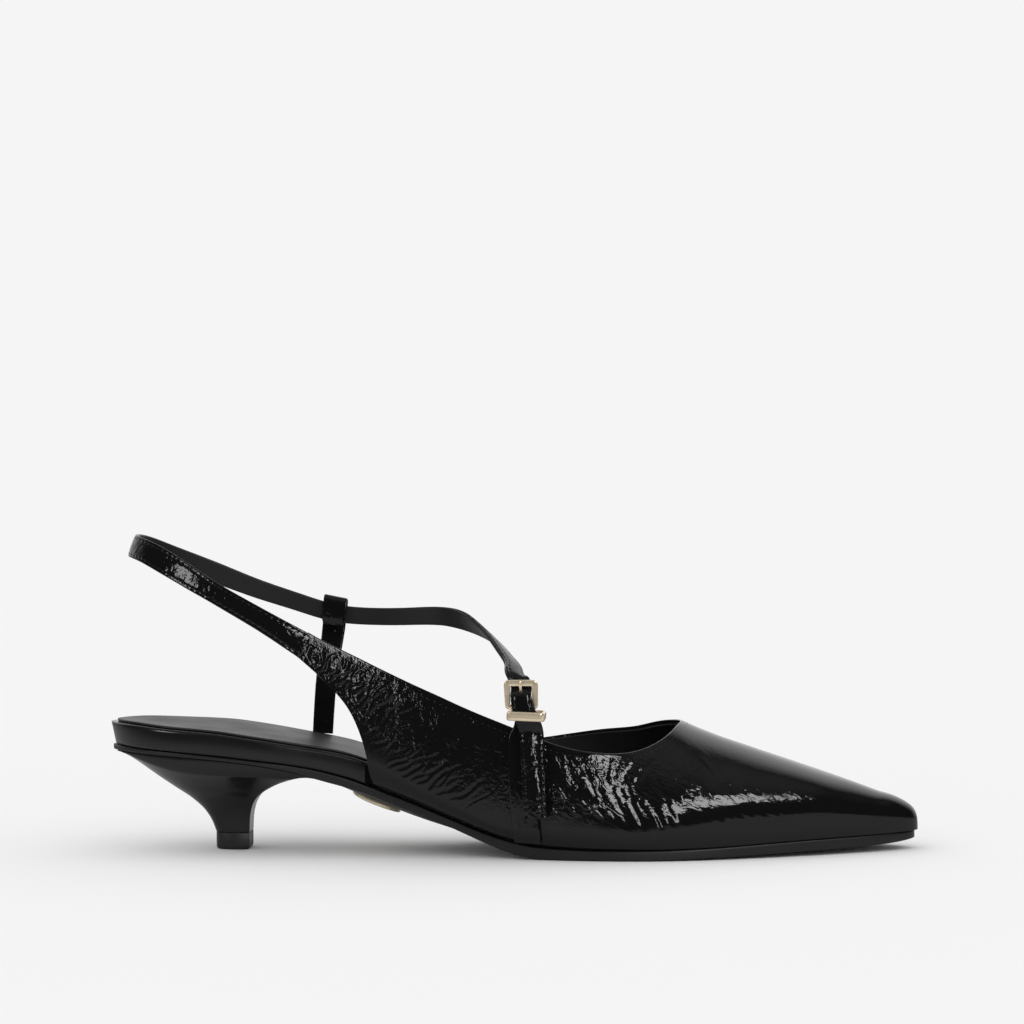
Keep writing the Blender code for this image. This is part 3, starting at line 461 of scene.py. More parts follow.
# Each level: its share of the height, the back's x and z, the breast's x and z, and the half width.
HEEL_LEVELS = [
    (0.0, -101.3, 5.9, -89.4, 5.9, 6.2), (0.12, -102.8, 9.6, -89.2, 10.2, 6.5),
    (0.24, -105.2, 13.2, -88.4, 14.4, 7.5), (0.36, -109.3, 16.8, -86.7, 17.4, 9.8),
    (0.50, -115.6, 20.6, -83.6, 19.7, 13.6), (0.66, -122.4, 24.5, -79.0, 21.6, 17.6),
    (0.82, -128.5, 28.4, -73.4, 23.1, 21.2), (1.0, -134.6, 33.0, -66.0, 25.2, 24.0),
]
HEEL_POINTS = 40
HEEL_ROUND = 2.2
HEEL_WIDEST = 0.62
BREAST_TUCK = 0.12
SEAT_EDGE = 1.7


def heel_rings(levels, inset=0.0, flat_z=None):
    """Sections of the heel. Each runs from the back point to the breast; its half width follows a
    superellipse up to its widest place, and blends into the sole's outline in the upper half."""
    w = np.asarray(levels, float)[:, None]
    back_x, back_z, front_x, front_z, half = (
        along(w, [(row[0], row[c]) for row in HEEL_LEVELS]) for c in range(1, 6)
    )
    back_x, front_x, half = back_x + inset, front_x - inset, half - inset
    even = np.linspace(0, 1, HEEL_POINTS)[None, :]
    u = 0.6 * (1 - np.cos(even * np.pi / 2)) + 0.4 * even
    x = back_x + (front_x - back_x) * u
    z = back_z + (front_z - back_z) * u
    d = half * (1 - (1 - np.clip(u / HEEL_WIDEST, 0, 1)) ** HEEL_ROUND) ** (1 / HEEL_ROUND)
    d = d * (1 - BREAST_TUCK * np.clip((u - HEEL_WIDEST) / (1 - HEEL_WIDEST), 0, 1) ** 2)
    outer, inner = edge_y(SOLE_EDGE, x)
    seat = np.maximum((inner - outer) / 2 - SEAT_EDGE, 0.0)
    mix = soft_step((w - 0.5) / 0.5)
    y = d * (1 - mix) + np.minimum(d * 1.2, seat) * mix
    y[:, 0] = 0.12 * y[:, 1]
    z = z + (along(x, UNDERSIDE_HEIGHT) - GAP - z) * w**4
    if flat_z is not None:
        z = np.broadcast_to(np.asarray(flat_z, float)[:, None], z.shape)
    left = np.stack([x, -y, z], -1)
    right = np.stack([x, y, z], -1)
    return np.concatenate([left, right[:, ::-1]], 1)


heel_leather = plain_leather("heel_leather", HEEL_BLACK, rough=0.17, grain_mm=0.3, depth_mm=0.008)
leather_piece("heel", heel_rings(np.linspace(0, 1, 90)), heel_leather, ["heel"], sharp=50)


# The top piece.
# A 6 mm slice of hard black rubber under the heel tip, ground flush with the leather above it. Its
# levels give their height and how far they stand in from the heel's tip.
RUBBER_BLACK = (0.012, 0.012, 0.012)
TOP_PIECE_LEVELS = [(5.7, 0.3), (5.65, 0.1), (5.5, 0.02), (1.2, 0.05), (0.7, 0.12), (0.3, 0.25),
                    (0.1, 0.45), (0.0, 0.7)]

heel_rubber = plain_leather("heel_rubber", RUBBER_BLACK, rough=0.5, grain_mm=0.6, depth_mm=0.03)
tip_rings = np.concatenate([heel_rings([0.0], inset=inset, flat_z=[z]) for z, inset in TOP_PIECE_LEVELS])
leather_piece("top_piece", tip_rings, heel_rubber, ["top_piece"], sharp=50)


# The upper.
# One closed vamp and quarter cut from crinkled patent leather, lasted over the board and folded
# over along the topline. On the outer side it rises into the wing that the strap grows from.
UPPER_WALL = 1.8
SKIN = 0.95
TIP_X = 135.2
NOSE_X = 122.0
NOSE = TIP_X - NOSE_X
# Each section of the last: its x, the ridge's height and y, and then for the outer and for the inner
# side how far the widest place stands out from the feather edge, its height, and how far the curve
# from there to the ridge first rises and last runs level.
LAST = [
    (-80, 127, 0, 8.6, 46, 30, 26.5, 8.5, 46, 32, 27),
    (-60, 113, 0, 8.4, 39.5, 28, 25.5, 8.5, 39, 30, 25.5),
    (-42, 101, 0, 7.8, 30.8, 24, 25.3, 7.0, 31, 27, 24.5),
    (-20, 87.5, 0.5, 5.9, 19, 22, 27.7, 5.0, 20.5, 26, 25.5),
    (0, 75.5, 1, 3.5, 10.8, 24.5, 31.8, 3.6, 12.5, 26, 26.5),
    (25, 60, 2, 2.4, 10, 20, 28, 2.4, 10.5, 20, 24.5),
    (42, 50.3, 2.5, 1.3, 9, 17, 20.5, 1.4, 9.5, 17, 19.5),
    (56, 42.9, 3, 1.1, 10.5, 15, 21, 1.1, 11, 15, 19),
    (66, 38.6, 3, 0.9, 12, 12.5, 18.5, 0.9, 12.3, 12.5, 17.5),
    (80, 33.7, 3, 0.8, 13.5, 10.5, 16, 0.8, 13.7, 10.5, 15.5),
    (100, 26.9, 3, 0.8, 13.8, 7.5, 14, 0.8, 13.9, 7.5, 13.5),
    (113, 22.4, 3, 0.7, 12.8, 5, 10.5, 0.7, 12.9, 5, 10.2),
    (122, 19.1, 3, 0.5, 11.7, 4.2, 8, 0.5, 11.7, 4.2, 7.8),
]
# Round the nose the last section shrinks: at each angle, to which share.
NOSE_HEIGHT = [(0, 1.0), (0.35, 0.9), (0.75, 0.735), (1.1, 0.555), (1.38, 0.33), (1.5708, 0)]
FEATHER = outline_sides([(-140, 0.9), (112, 0.9), (134, 0.1), (135.3, 0.0), (140, 0.0)])
FEATHER_LIFT = 0.3
# The leather's edges: the wing's lower edge (x, z), places along the feather edge, the topline on the
# outer side (x, z), at the throat (x, y) and on the inner side (x, z), and which place of the lower
# edge is joined to which of the topline.
WING_LOW = [(-71.3, 68.4), (-65, 62.9), (-59.4, 57.4), (-53.6, 50.4), (-50.2, 43.6), (-48.2, 37.6),
            (-46.8, 30.6), (-45.6, 25.2)]
SOLE_KEYS = [-43.5, -20, 5, 25, 50, 75, 100, 122, 134, 139.5]
TIP_K = NOSE_X + NOSE * np.pi / 2
TOP_OUTER_Z = [(-66.6, 74.6), (-61.5, 71.8), (-56, 69.0), (-49, 65.5), (-42, 61.9), (-35, 58.5),
               (-28, 55.3), (-21.7, 52.5), (-10, 47.4), (0.5, 43.3), (11.9, 38.8), (18, 36.9),
               (26, 35.3), (33, 34.6), (39.5, 34.7), (45, 36.0), (49.6, 38.0), (53.4, 40.5)]
TOP_THROAT_Y = [(55.6, -4.5), (56.4, 2.5), (55.6, 9.0), (52.4, 15.2), (47.4, 20.2)]
TOP_INNER_Z = [(40.5, 38.9), (31, 37.6), (21, 36.2), (10, 34.6), (-3, 32.4), (-16, 29.8),
               (-28, 26.8), (-37, 24.0), (-42.5, 22.6)]
EDGE_PAIRS = [(0, 0), (2, 1.3), (4, 3.6), (6, 5.6), (7, 6.5), (8, 7.4), (9, 8.9), (10, 10.5),
              (11, 12.2), (12, 14), (13, 15.4), (14, 16.4), (15, 17.3), (16, 17.9), (18, 19),
              (20, 20.1), (21, 20.6), (22, 21.4), (23, 22.4), (24, 23.6), (25, 25.2), (26, 27.4),
              (27, 29.6), (28, 31)]
UPPER_ROWS = 92
UPPER_COLUMNS = 760
PATENT_BLACK = (0.0055, 0.0055, 0.006)
ROW_CROWDING = 1.1


def last_row(k):
    """The section's numbers at k, where k is x up to the nose and an angle round it past that."""
    k = np.asarray(k, float)
    a = np.clip((k - NOSE_X) / NOSE, 0, np.pi / 2)
    x = np.where(k > NOSE_X, NOSE_X + NOSE * np.sin(a), k)
    cols = [along(np.minimum(k, NOSE_X), [(r[0], r[c]) for r in LAST]) for c in range(1, 11)]
    foot = along(x, SEAM_HEIGHT) + FEATHER_LIFT
    high = cols[0] - foot
    scale = np.where(k > NOSE_X, along(a, NOSE_HEIGHT), 1.0)
    lat, med = edge_y(FEATHER, x)
    return x, foot, high * scale, cols, lat, med, scale


def last_point(k, f):
    """A point of the last. f runs from -1 at the outer feather edge, through 0 at the ridge, to 1
    at the inner feather edge. Each side bends out from the feather edge to its widest place, where
    it is upright, and from there over to the ridge, where it is level."""
    k, f = np.broadcast_arrays(np.asarray(k, float), np.asarray(f, float))
    x, foot, high, c, lat, med, scale = last_row(k)
    p = 1 - np.abs(f)
    outer = f < 0
    base = np.where(outer, lat, med)
    sign = np.where(outer, -1.0, 1.0)
    wide = base + sign * np.where(outer, c[2], c[6]) * scale
    level = (np.where(outer, c[3], c[7]) - foot) * scale
    up = np.where(outer, c[4], c[8]) * scale
    flat = np.where(outer, c[5], c[9]) * scale
    ridge_y = c[1] * scale + (1 - scale) * (lat + med) / 2
    share = np.maximum(level / np.maximum(high + np.abs(ridge_y - wide), 1e-6), 1e-6)
    a = np.clip(p / share, 0, 1)
    b = np.clip((p - share) / (1 - share), 0, 1)
    q = 1 - b
    y_low = (1 - a) ** 2 * base + (2 - a) * a * wide
    z_low = (0.8 * (1 - a) * a + a * a) * level
    y_high = q * q * (1 + 2 * b) * wide + 3 * q * b * b * (ridge_y + sign * flat) + b**3 * ridge_y
    z_high = q**3 * level + 3 * q * q * b * (level + up) + (3 - 2 * b) * b * b * high
    low = p < share
    return np.stack([x, np.where(low, y_low, y_high), foot + np.where(low, z_low, z_high)], -1)


def girth(k):
    """A nominal length round each side of the section at k: its height plus its half width."""
    _, _, high, _, outer, inner, _ = last_row(k)
    return high + (inner - outer) / 2


def find_f(k, side, z=None, y=None):
    """The f on one side of the section at k whose point has that height, or that y."""
    f = side * np.linspace(0, 1, 1601)
    p = last_point(np.full(f.shape, float(k)), f)
    miss = np.abs(p[:, 2] - z) if y is None else np.abs(p[:, 1] - y)
    return f[int(miss.argmin())]


def upper_edges():
    """Lower and upper edge of the leather as (k, f) rows, from the wing round the toe."""
    low = [(k, find_f(k, -1, z=z)) for k, z in WING_LOW]
    low += [(k, -1.0) for k in SOLE_KEYS] + [(TIP_K, 0.0)] + [(k, 1.0) for k in SOLE_KEYS[::-1]]
    top = [(k, find_f(k, -1, z=z)) for k, z in TOP_OUTER_Z]
    top += [(k, find_f(k, -1 if y < 3 else 1, y=y)) for k, y in TOP_THROAT_Y]
    top += [(k, find_f(k, 1, z=z)) for k, z in TOP_INNER_Z]
    return np.array(low), np.array(top)


def upper_places(u, v):
    """(k, girth along the section) over the upper. Each column joins a place on the lower edge to
    its partner on the topline by a straight line, and u counts over the lower edge's points."""
    low, top = upper_edges()
    wing = len(WING_LOW)
    tip = wing + len(SOLE_KEYS)
    low_q, top_q = low.copy(), top.copy()
    low_q[:, 1] *= girth(low[:, 0])
    top_q[:, 1] *= girth(top[:, 0])
    upper_line = curve_through(top_q, 0, at=along(u, EDGE_PAIRS) / (len(top) - 1))
    wing_line = curve_through(low_q[: wing + 1], 0, at=np.clip(u / wing, 0, 1))
    index = np.arange(len(low))
    k_out = along(u, list(zip(index[wing:tip + 1], low[wing:tip + 1, 0])))
    k_in = along(u, list(zip(index[tip:], low[tip:, 0])))
    k_sole = np.where(u <= tip, k_out, k_in)
    sole_line = np.stack([k_sole, np.where(u < tip, -1.0, 1.0) * girth(k_sole)], 1)
    lower_line = np.where((u < wing)[:, None], wing_line, sole_line)
    v = v[None, :, None]
    return lower_line[:, None] * (1 - v) + upper_line[:, None] * v


def on_last(places):
    """The points of the last at (k, girth) places."""
    k = places[..., 0]
    return last_point(k, np.clip(places[..., 1] / np.maximum(girth(k), 1e-6), -1, 1))


def run_along(line):
    """How far along a line of points each of them is."""
    return np.concatenate([[0.0], np.cumsum(np.linalg.norm(np.diff(line, axis=0), axis=1))])


def even_columns(count):
    """Columns spaced evenly by the length of the upper's middle line."""
    u = np.linspace(0, EDGE_PAIRS[-1][0], 1200)
    run = run_along(on_last(upper_places(u, np.array([0.35, 0.8]))).mean(axis=1))
    return np.interp(np.linspace(0, run[-1], count), run, u)


def outward_normals(grid):
    """Unit normals of a grid, pointing to -Y in the middle of its column 40, on the outer side."""
    n = unit(np.cross(np.gradient(grid, axis=0), np.gradient(grid, axis=1)))
    return n if n[40, grid.shape[1] // 2, 1] < 0 else -n


def level_foot(points, normals, u):
    """Along the sole the wall's thickness is measured level, so that it meets the sole squarely."""
    run = np.gradient(points[:, 0], axis=0)
    level = unit(np.stack([run[:, 1], -run[:, 0], np.zeros(len(run))], 1))
    there = u >= len(WING_LOW)
    level *= 1.0 if level[int(np.argmax(there)), 1] < 0 else -1.0
    normals[there, 0] = level[there]
    return normals


# The creases of the worn-in crinkle, in millimetres, as seen from the outer side: where each starts
# and ends on the wall (x, z), its half width, and how deep it is. Between the first and the last
# line of a fan the others are spaced evenly.
VAMP_FANS = [
    ((15.0, 36.0), (22.5, 22.5), (22.0, 34.0), (30.5, 17.5), 5, 0.75, 0.16),
    ((23.5, 31.5), (36.0, 11.5), (46.5, 26.5), (56.0, 11.0), 11, 0.7, 0.15),
    ((34.0, 33.0), (30.5, 24.5), (49.0, 36.0), (42.0, 25.0), 5, 0.8, 0.13),
    ((48.0, 34.5), (62.0, 19.0), (64.0, 33.0), (84.0, 16.5), 8, 0.75, 0.12),
    ((58.0, 24.0), (72.0, 12.0), (78.0, 22.0), (90.0, 12.5), 7, 0.65, 0.10),
]
QUARTER_FANS = [
    ((-68.0, 66.5), (-65.0, 71.0), (-44.0, 45.0), (-36.0, 54.0), 15, 0.6, 0.3),
    ((-58.0, 60.0), (-52.0, 66.0), (-38.0, 46.0), (-26.0, 54.0), 11, 0.6, 0.24),
    ((-46.0, 39.5), (-38.0, 45.0), (-14.0, 17.5), (-4.0, 25.0), 13, 0.5, 0.11),
    ((-40.0, 30.0), (-30.0, 35.0), (-26.0, 21.0), (-14.0, 28.0), 6, 0.55, 0.1),
]
CREASE_SEED = 11
CREASE_SHARE = 0.32


def fan_lines(fans, seed):
    """Each fan's lines: ends blended from the first line to the last, then shifted and turned a
    little by a seeded draw, so that no two lie alike."""
    draw = np.random.default_rng(seed)
    lines = []
    for a0, b0, a1, b1, count, wide, deep in fans:
        t = np.linspace(0, 1, count)[:, None]
        a = np.array(a0) * (1 - t) + np.array(a1) * t + draw.normal(0, 0.7, (count, 2))
        b = np.array(b0) * (1 - t) + np.array(b1) * t + draw.normal(0, 1.2, (count, 2))
        size = draw.uniform(0.7, 1.3, (count, 2)) * [wide, deep]
        lines.append(np.hstack([a, b, size]))
    return np.vstack(lines)


def crease_depth(x, z, lines):
    """How far the leather moves out at (x, z): minus a bell-shaped trough along each line, plus a
    ridge nine tenths as high on each of its sides, both fading at the line's ends. Each line is bent
    by a small sine wave."""
    total = np.zeros(x.shape)
    for ax, az, bx, bz, wide, deep in lines:
        long = np.hypot(bx - ax, bz - az)
        ex, ez = (bx - ax) / long, (bz - az) / long
        s = ((x - ax) * ex + (z - az) * ez) / long
        wave = 0.9 * np.sin(s * 5.0 + ax)
        d = ((z - az) * ex - (x - ax) * ez + wave) / wide
        ends = np.exp(-np.clip(np.abs(s - 0.5) - 0.3, 0, None) ** 2 / 0.03)
        total += deep * ends * (0.9 * np.exp(-((np.abs(d) - 2.0) ** 2) / 1.1) - np.exp(-d * d))
    return total


CRINKLE_TURN_VAMP = [(5, -62), (30, -58), (48, -50), (65, -40), (90, -30), (130, -25)]
CRINKLE_TURN_QUARTER = [(-80, 55), (-50, 52), (-35, 45), (-20, 35), (5, 32)]
QUARTER_FRONT = 2.0
LAY_STEP = 0.1
RIDGE_ROUND = 6.0
VAMP_LAY_SHIFT = (40.0, 70.0, 9.0)


def crinkle_lay(k, q):
    """Coordinates that run across and along the fine wrinkles, in millimetres. The direction turns
    slowly with k: across is the running integral of its sine, plus its cosine times the height."""
    steps = np.linspace(-90, 150, 2401)
    high = -np.sqrt(q * q + RIDGE_ROUND * RIDGE_ROUND)
    lay = []
    for table in (CRINKLE_TURN_QUARTER, CRINKLE_TURN_VAMP):
        turn = np.radians(along(steps, table))
        s = np.interp(k, steps, np.cumsum(np.sin(turn)) * LAY_STEP)
        c = np.interp(k, steps, np.cumsum(np.cos(turn)) * LAY_STEP)
        turn = np.interp(k, steps, turn)
        lay.append(np.stack([high * np.cos(turn) - s, high * np.sin(turn) + c, q * 0.05], -1))
    front = ((k > QUARTER_FRONT) | (q > 0))[..., None]
    return np.where(front, lay[1] + VAMP_LAY_SHIFT, lay[0])


def crinkle():
    """The wrinkles of crinkled patent leather, as seen in the lay's own millimetres. The lay is bent
    by a slow noise and divided by the wrinkle's width and length. The height is a smooth noise
    folded at its middle value: puffy pads parted by narrow valleys, in a large and a small size.
    Slow patches make the whole livelier or calmer."""
    group, come, go = new_group(
        "crinkle",
        [("Lay", "NodeSocketVector", None), ("Wrinkle Width", "NodeSocketFloat", 1.2),
         ("Wrinkle Length", "NodeSocketFloat", 4.0), ("Small Pads", "NodeSocketFloat", 0.4)],
        ["Height", "Fine"],
    )
    slow = node(group, "TexNoise", {"Vector": come["Lay"], "Scale": 0.3, "Detail": 1.0})
    middle = maths(group, "SUBTRACT", slow.outputs["Color"], (0.5, 0.5, 0.5), kind="VectorMath")
    bend = node(group, "VectorMath", {0: middle, "Scale": 3.0}, operation="SCALE")
    bent = maths(group, "ADD", come["Lay"], bend.outputs[0], kind="VectorMath")
    size = node(group, "CombineXYZ", {0: come["Wrinkle Width"], 1: come["Wrinkle Length"], 2: 1.0})
    in_pads = maths(group, "DIVIDE", bent, size.outputs[0], kind="VectorMath")

    def pads(scale, valley):
        """Pads parted by valleys: the distance of a smooth noise from its middle value, with the
        valley's floor rounded over that much of it."""
        soft = node(group, "TexNoise", {"Vector": in_pads, "Scale": scale, "Detail": 0.8,
                                        "Distortion": 0.3})
        off = maths(group, "SUBTRACT", soft.outputs["Fac"], 0.5)
        square = maths(group, "MULTIPLY", off, off)
        return maths(group, "SQRT", maths(group, "ADD", square, valley * valley))

    little = maths(group, "MULTIPLY", pads(1.25, 0.03), come["Small Pads"])
    both = maths(group, "ADD", pads(0.55, 0.022), little)
    patches = node(group, "TexNoise", {"Vector": bent, "Scale": 0.13, "Detail": 1.0})
    lively = graded(group, patches.outputs["Fac"], 0.4, 0.6, 0.45, 1.0, "SMOOTHSTEP")
    fine = node(group, "TexNoise", {"Vector": bent, "Scale": 1.6, "Detail": 1.0})
    fill(group, go, {"Height": maths(group, "MULTIPLY", both, lively), "Fine": fine.outputs["Fac"]})
    return group


CRINKLE = crinkle()
FINE_RELIEF = 0.02


def patent_leather(name, width, length, depth_mm, small, rough=0.06, by_place=False):
    """Black patent leather: a clear hard gloss over wrinkles that follow the piece's lay. by_place
    has the mesh's own "relief" say how deep the wrinkles are at each point, from 0 to 1."""
    mat, tree, shader = new_finish(name, PATENT_BLACK, rough, ior=1.46)
    lay = node(tree, "Attribute", attribute_name="lay")
    wrinkles = node(tree, "Group", node_tree=CRINKLE)
    fill(tree, wrinkles, {"Lay": lay.outputs["Vector"], "Wrinkle Width": width, "Wrinkle Length": length,
                          "Small Pads": small})
    height = wrinkles.outputs["Height"]
    if by_place:
        relief = node(tree, "Attribute", attribute_name="relief")
        height = maths(tree, "MULTIPLY", relief.outputs["Fac"], height)
    fine = node(tree, "Bump", {"Height": wrinkles.outputs["Fine"], "Strength": 1.0,
                               "Distance": FINE_RELIEF * MM})
    large = node(tree, "Bump", {"Height": height, "Normal": fine.outputs["Normal"], "Strength": 1.0,
                                "Distance": depth_mm * MM})
    fill(tree, shader, {"Normal": large.outputs["Normal"]})
    return mat


# How deep the wrinkles are: full on the quarter and the vamp's side, little below a line low on the
# wall, where the leather was pulled tight over the board, and towards the toe and the vamp's top.
TIGHT_BELOW = [(-80, 46), (-46, 38), (-36, 31), (-23, 24), (-10, 18.5), (1, 13.7), (13, 12.7),
               (36, 11.5), (56, 13), (73, 15), (100, 14), (119, 12), (136, 12)]
TIGHT_FADE = 6.0
TIGHT_RELIEF = 0.05
ALONG_RELIEF = [(-80, 0.26), (-66, 0.3), (-50, 0.42), (-30, 0.6), (-15, 0.48), (-4, 0.5), (8, 1.0),
                (40, 1.0), (62, 0.7), (82, 0.5), (100, 0.3), (116, 0.1), (136, 0.06)]
TOP_RELIEF = 0.16
EDGE_RELIEF = 0.35


def wrinkle_depth(f, points):
    """The share of the wrinkles' depth at each point, from its x, its height over the tight line,
    and how far round the section towards the ridge it lies."""
    x, z = points[..., 0], points[..., 2]
    low = TIGHT_RELIEF + (1 - TIGHT_RELIEF) * soft_step((z - along(x, TIGHT_BELOW)) / TIGHT_FADE)
    round_top = np.clip((0.62 - np.abs(f)) / 0.22, 0, 1) * np.clip((x - 44) / 12, 0, 1)
    return low * (1 - (1 - TOP_RELIEF) * soft_step(round_top)) * along(x, ALONG_RELIEF)


# The skin: rows from the lower edge to the topline, moved out by the creases, which die out at
# both edges.
upper_patent = patent_leather("patent_upper", width=1.35, length=2.5, depth_mm=0.8, small=0.35,
                              by_place=True)
column_u = even_columns(UPPER_COLUMNS)
places = upper_places(column_u, np.linspace(0, 1, UPPER_ROWS) ** ROW_CROWDING)
smooth = on_last(places)
normal = level_foot(smooth, outward_normals(smooth), column_u)
on_vamp = (smooth[..., 0] > QUARTER_FRONT) | (places[..., 1] > 0)
move = np.where(on_vamp, *(
    crease_depth(smooth[..., 0], smooth[..., 2], fan_lines(fans, seed))
    for fans, seed in ((VAMP_FANS, CREASE_SEED), (QUARTER_FANS, CREASE_SEED + 1))
))
from_low = np.linspace(0, 1, UPPER_ROWS)[None, :]
calm = np.clip(from_low * 12, 0, 1) * np.clip((1 - from_low) * 12, 0, 1)
skin_out = smooth + normal * (move * calm * CREASE_SHARE)[..., None]
relief = wrinkle_depth(places[..., 1] / np.maximum(girth(places[..., 0]), 1e-6), smooth)
relief *= EDGE_RELIEF + (1 - EDGE_RELIEF) * calm

# The topline is folded over: three points turn the skin round to its inner face.
edge_turn = np.radians([30.0, 60.0, 90.0])[None, :, None]
over = unit(smooth[:, -1:] - smooth[:, -2:-1])
end_n = normal[:, -1:]
fold = smooth[:, -1:] - end_n * SKIN / 2 + end_n * SKIN / 2 * np.cos(edge_turn)
fold = fold + over * SKIN / 2 * np.sin(edge_turn) * 1.2
pick = np.linspace(UPPER_ROWS - 1, 0, 9).astype(int)
rings = np.concatenate([skin_out, fold, smooth[:, pick] - normal[:, pick] * SKIN], 1)
lay = crinkle_lay(places[..., 0], places[..., 1])
lay = np.concatenate([lay, lay[:, -1:].repeat(3, 1), lay[:, pick]], 1)
relief = np.concatenate([relief, relief[:, -1:].repeat(3, 1), relief[:, pick]], 1)
upper = leather_piece("upper", rings, upper_patent, ["upper"], sharp=60, lay=lay)
upper.data.attributes.new("relief", "FLOAT", "POINT").data.foreach_set("value", relief.ravel())


# The lining of the upper.
# Thin matte black leather glued inside the patent leather and trimmed just below the topline, where
# its cut edge shows as a fine line.
LINING_BLACK = (0.008, 0.008, 0.0085)
LINING_ROWS = 40
LINING_TOP = 0.992
LINING_CLEAR = 0.02

lining_leather = plain_leather("lining_leather", LINING_BLACK, rough=0.5, grain_mm=0.5, depth_mm=0.03)
lining_u = even_columns(420)
lining_mid = on_last(upper_places(lining_u, np.linspace(0, LINING_TOP, LINING_ROWS) ** ROW_CROWDING))
lining_n = level_foot(lining_mid, outward_normals(lining_mid), lining_u)
near = lining_mid - lining_n * (SKIN + LINING_CLEAR)
far = lining_mid - lining_n * UPPER_WALL
half_way = (near[:, -1:] + far[:, -1:]) / 2 + (near[:, -1:] - near[:, -2:-1]) * 0.15
there = lining_u >= len(WING_LOW)
far[there, 0, 2] = np.maximum(far[there, 0, 2], along(far[there, 0, 0], SEAM_HEIGHT) + FEATHER_LIFT)
lining_pick = np.linspace(0, LINING_ROWS - 1, 8).astype(int)
foot = (far[:, :1] + near[:, :1]) / 2
lining_rings = np.concatenate([near[:, lining_pick], half_way, far[:, ::-1], foot], 1)
leather_piece("upper_lining", lining_rings, lining_leather, ["upper"], sharp=50)


# The sling strap.
# A 7 mm strap of the same patent leather over a matte lining, folded at both edges and stitched. It
# grows from the wing, goes round the heel, through the inner stay's loop and over the instep, and
# comes down through the buckle to its tail.
STRAP_THICK = 1.7
STRIP_THICK = 1.3
# Each row: the middle's x, y and z, the direction across, and the width.
STRAP_ROWS = [
    (-84.3, -29.6, 80.6, (0.5, 0.05, 0.86), 7.1), (-96.5, -27.0, 87.3, (0.5, 0.08, 0.86), 6.8),
    (-107.5, -22.3, 93.4, (0.44, 0.12, 0.88), 7.5), (-116.6, -16.3, 98.2, (0.40, 0.16, 0.9), 8.0),
    (-124.2, -8.6, 101.3, (0.36, 0.12, 0.92), 7.8), (-128.5, 0.0, 102.4, (0.36, 0.0, 0.93), 7.8),
    (-126.8, 9.0, 101.8, (0.32, -0.12, 0.93), 7.7), (-119.5, 17.4, 98.3, (0.22, -0.14, 0.95), 7.6),
    (-104.5, 24.0, 92.0, (0.26, -0.1, 0.95), 7.2), (-90.0, 27.0, 86.1, (0.24, -0.05, 0.96), 6.6),
    (-76.0, 27.7, 81.4, (0.24, 0.0, 0.97), 6.2), (-63.5, 27.7, 77.7, (0.16, 0.0, 0.98), 6.1),
    (-51.0, 27.2, 76.5, (0.0, 0.0, 1.0), 6.0), (-38.5, 25.0, 76.6, (-0.02, 0.05, 1.0), 6.1),
    (-27.0, 20.6, 77.0, (-0.18, 0.16, 0.97), 6.4), (-18.6, 14.0, 76.0, (-0.4, 0.15, 0.88), 6.6),
    (-11.8, 5.0, 73.5, (-0.62, 0.05, 0.76), 6.5), (-6.2, -6.0, 70.4, (-0.72, -0.12, 0.66), 6.2),
    (-1.8, -16.4, 66.4, (-0.8, -0.3, 0.5), 5.9), (1.3, -25.0, 63.0, (-0.76, -0.55, 0.3), 6.4),
    (2.4, -30.6, 60.6, (-0.74, -0.6, 0.16), 7.0), (3.7, -32.3, 58.9, (-0.96, -0.12, 0.0), 6.9),
    (4.3, -33.4, 56.9, (-1.0, 0.0, -0.05), 6.9), (4.4, -36.4, 54.2, (-1.0, 0.0, -0.1), 7.0),
    (5.0, -37.0, 51.2, (-1.0, 0.0, -0.14), 7.4), (6.0, -36.9, 47.4, (-1.0, 0.0, -0.16), 7.6),
]
TAIL_ON_LAST = [(42.5, 7.3, 1.2), (37, 7.9, 0.4), (30, 8.5, 0), (23, 9.0, 0), (17, 9.3, 0), (14.2, 9.5, 0)]
TAIL_WIDE = 7.9
TAIL_CLEAR = 0.8
TAIL_LONG = 29.0
TAIL_LEAN = 8.0
WING_ENDS = ((-71.9, 68.8), (-67.1, 75.0))
WING_MIDDLE = (-69.5, 71.0)
WING_STRAP_WIDE = 8.7
UNDER_WING = 2.2
STITCH_PITCH = 2.2
STRAP_SEAM = 1.1


def wall_point(k, z):
    """The point of the last's outer side at one height."""
    return last_point(k, find_f(k, -1, z=z))


def wall_normal(k, z):
    """The last's outward normal on the outer side at one height, from points beside it."""
    f = find_f(k, -1, z=z)
    a = last_point(k + 1.0, f) - last_point(k - 1.0, f)
    b = last_point(k, f * 0.98) - last_point(k, max(f * 1.02, -1))
    n = unit(np.cross(a, b))
    return n if n[1] < 0 else -n


def wall_back(k, z):
    """The direction to the heel along the last's outer side, at one height."""
    return unit(wall_point(k - 4.0, z) - wall_point(k + 4.0, z))


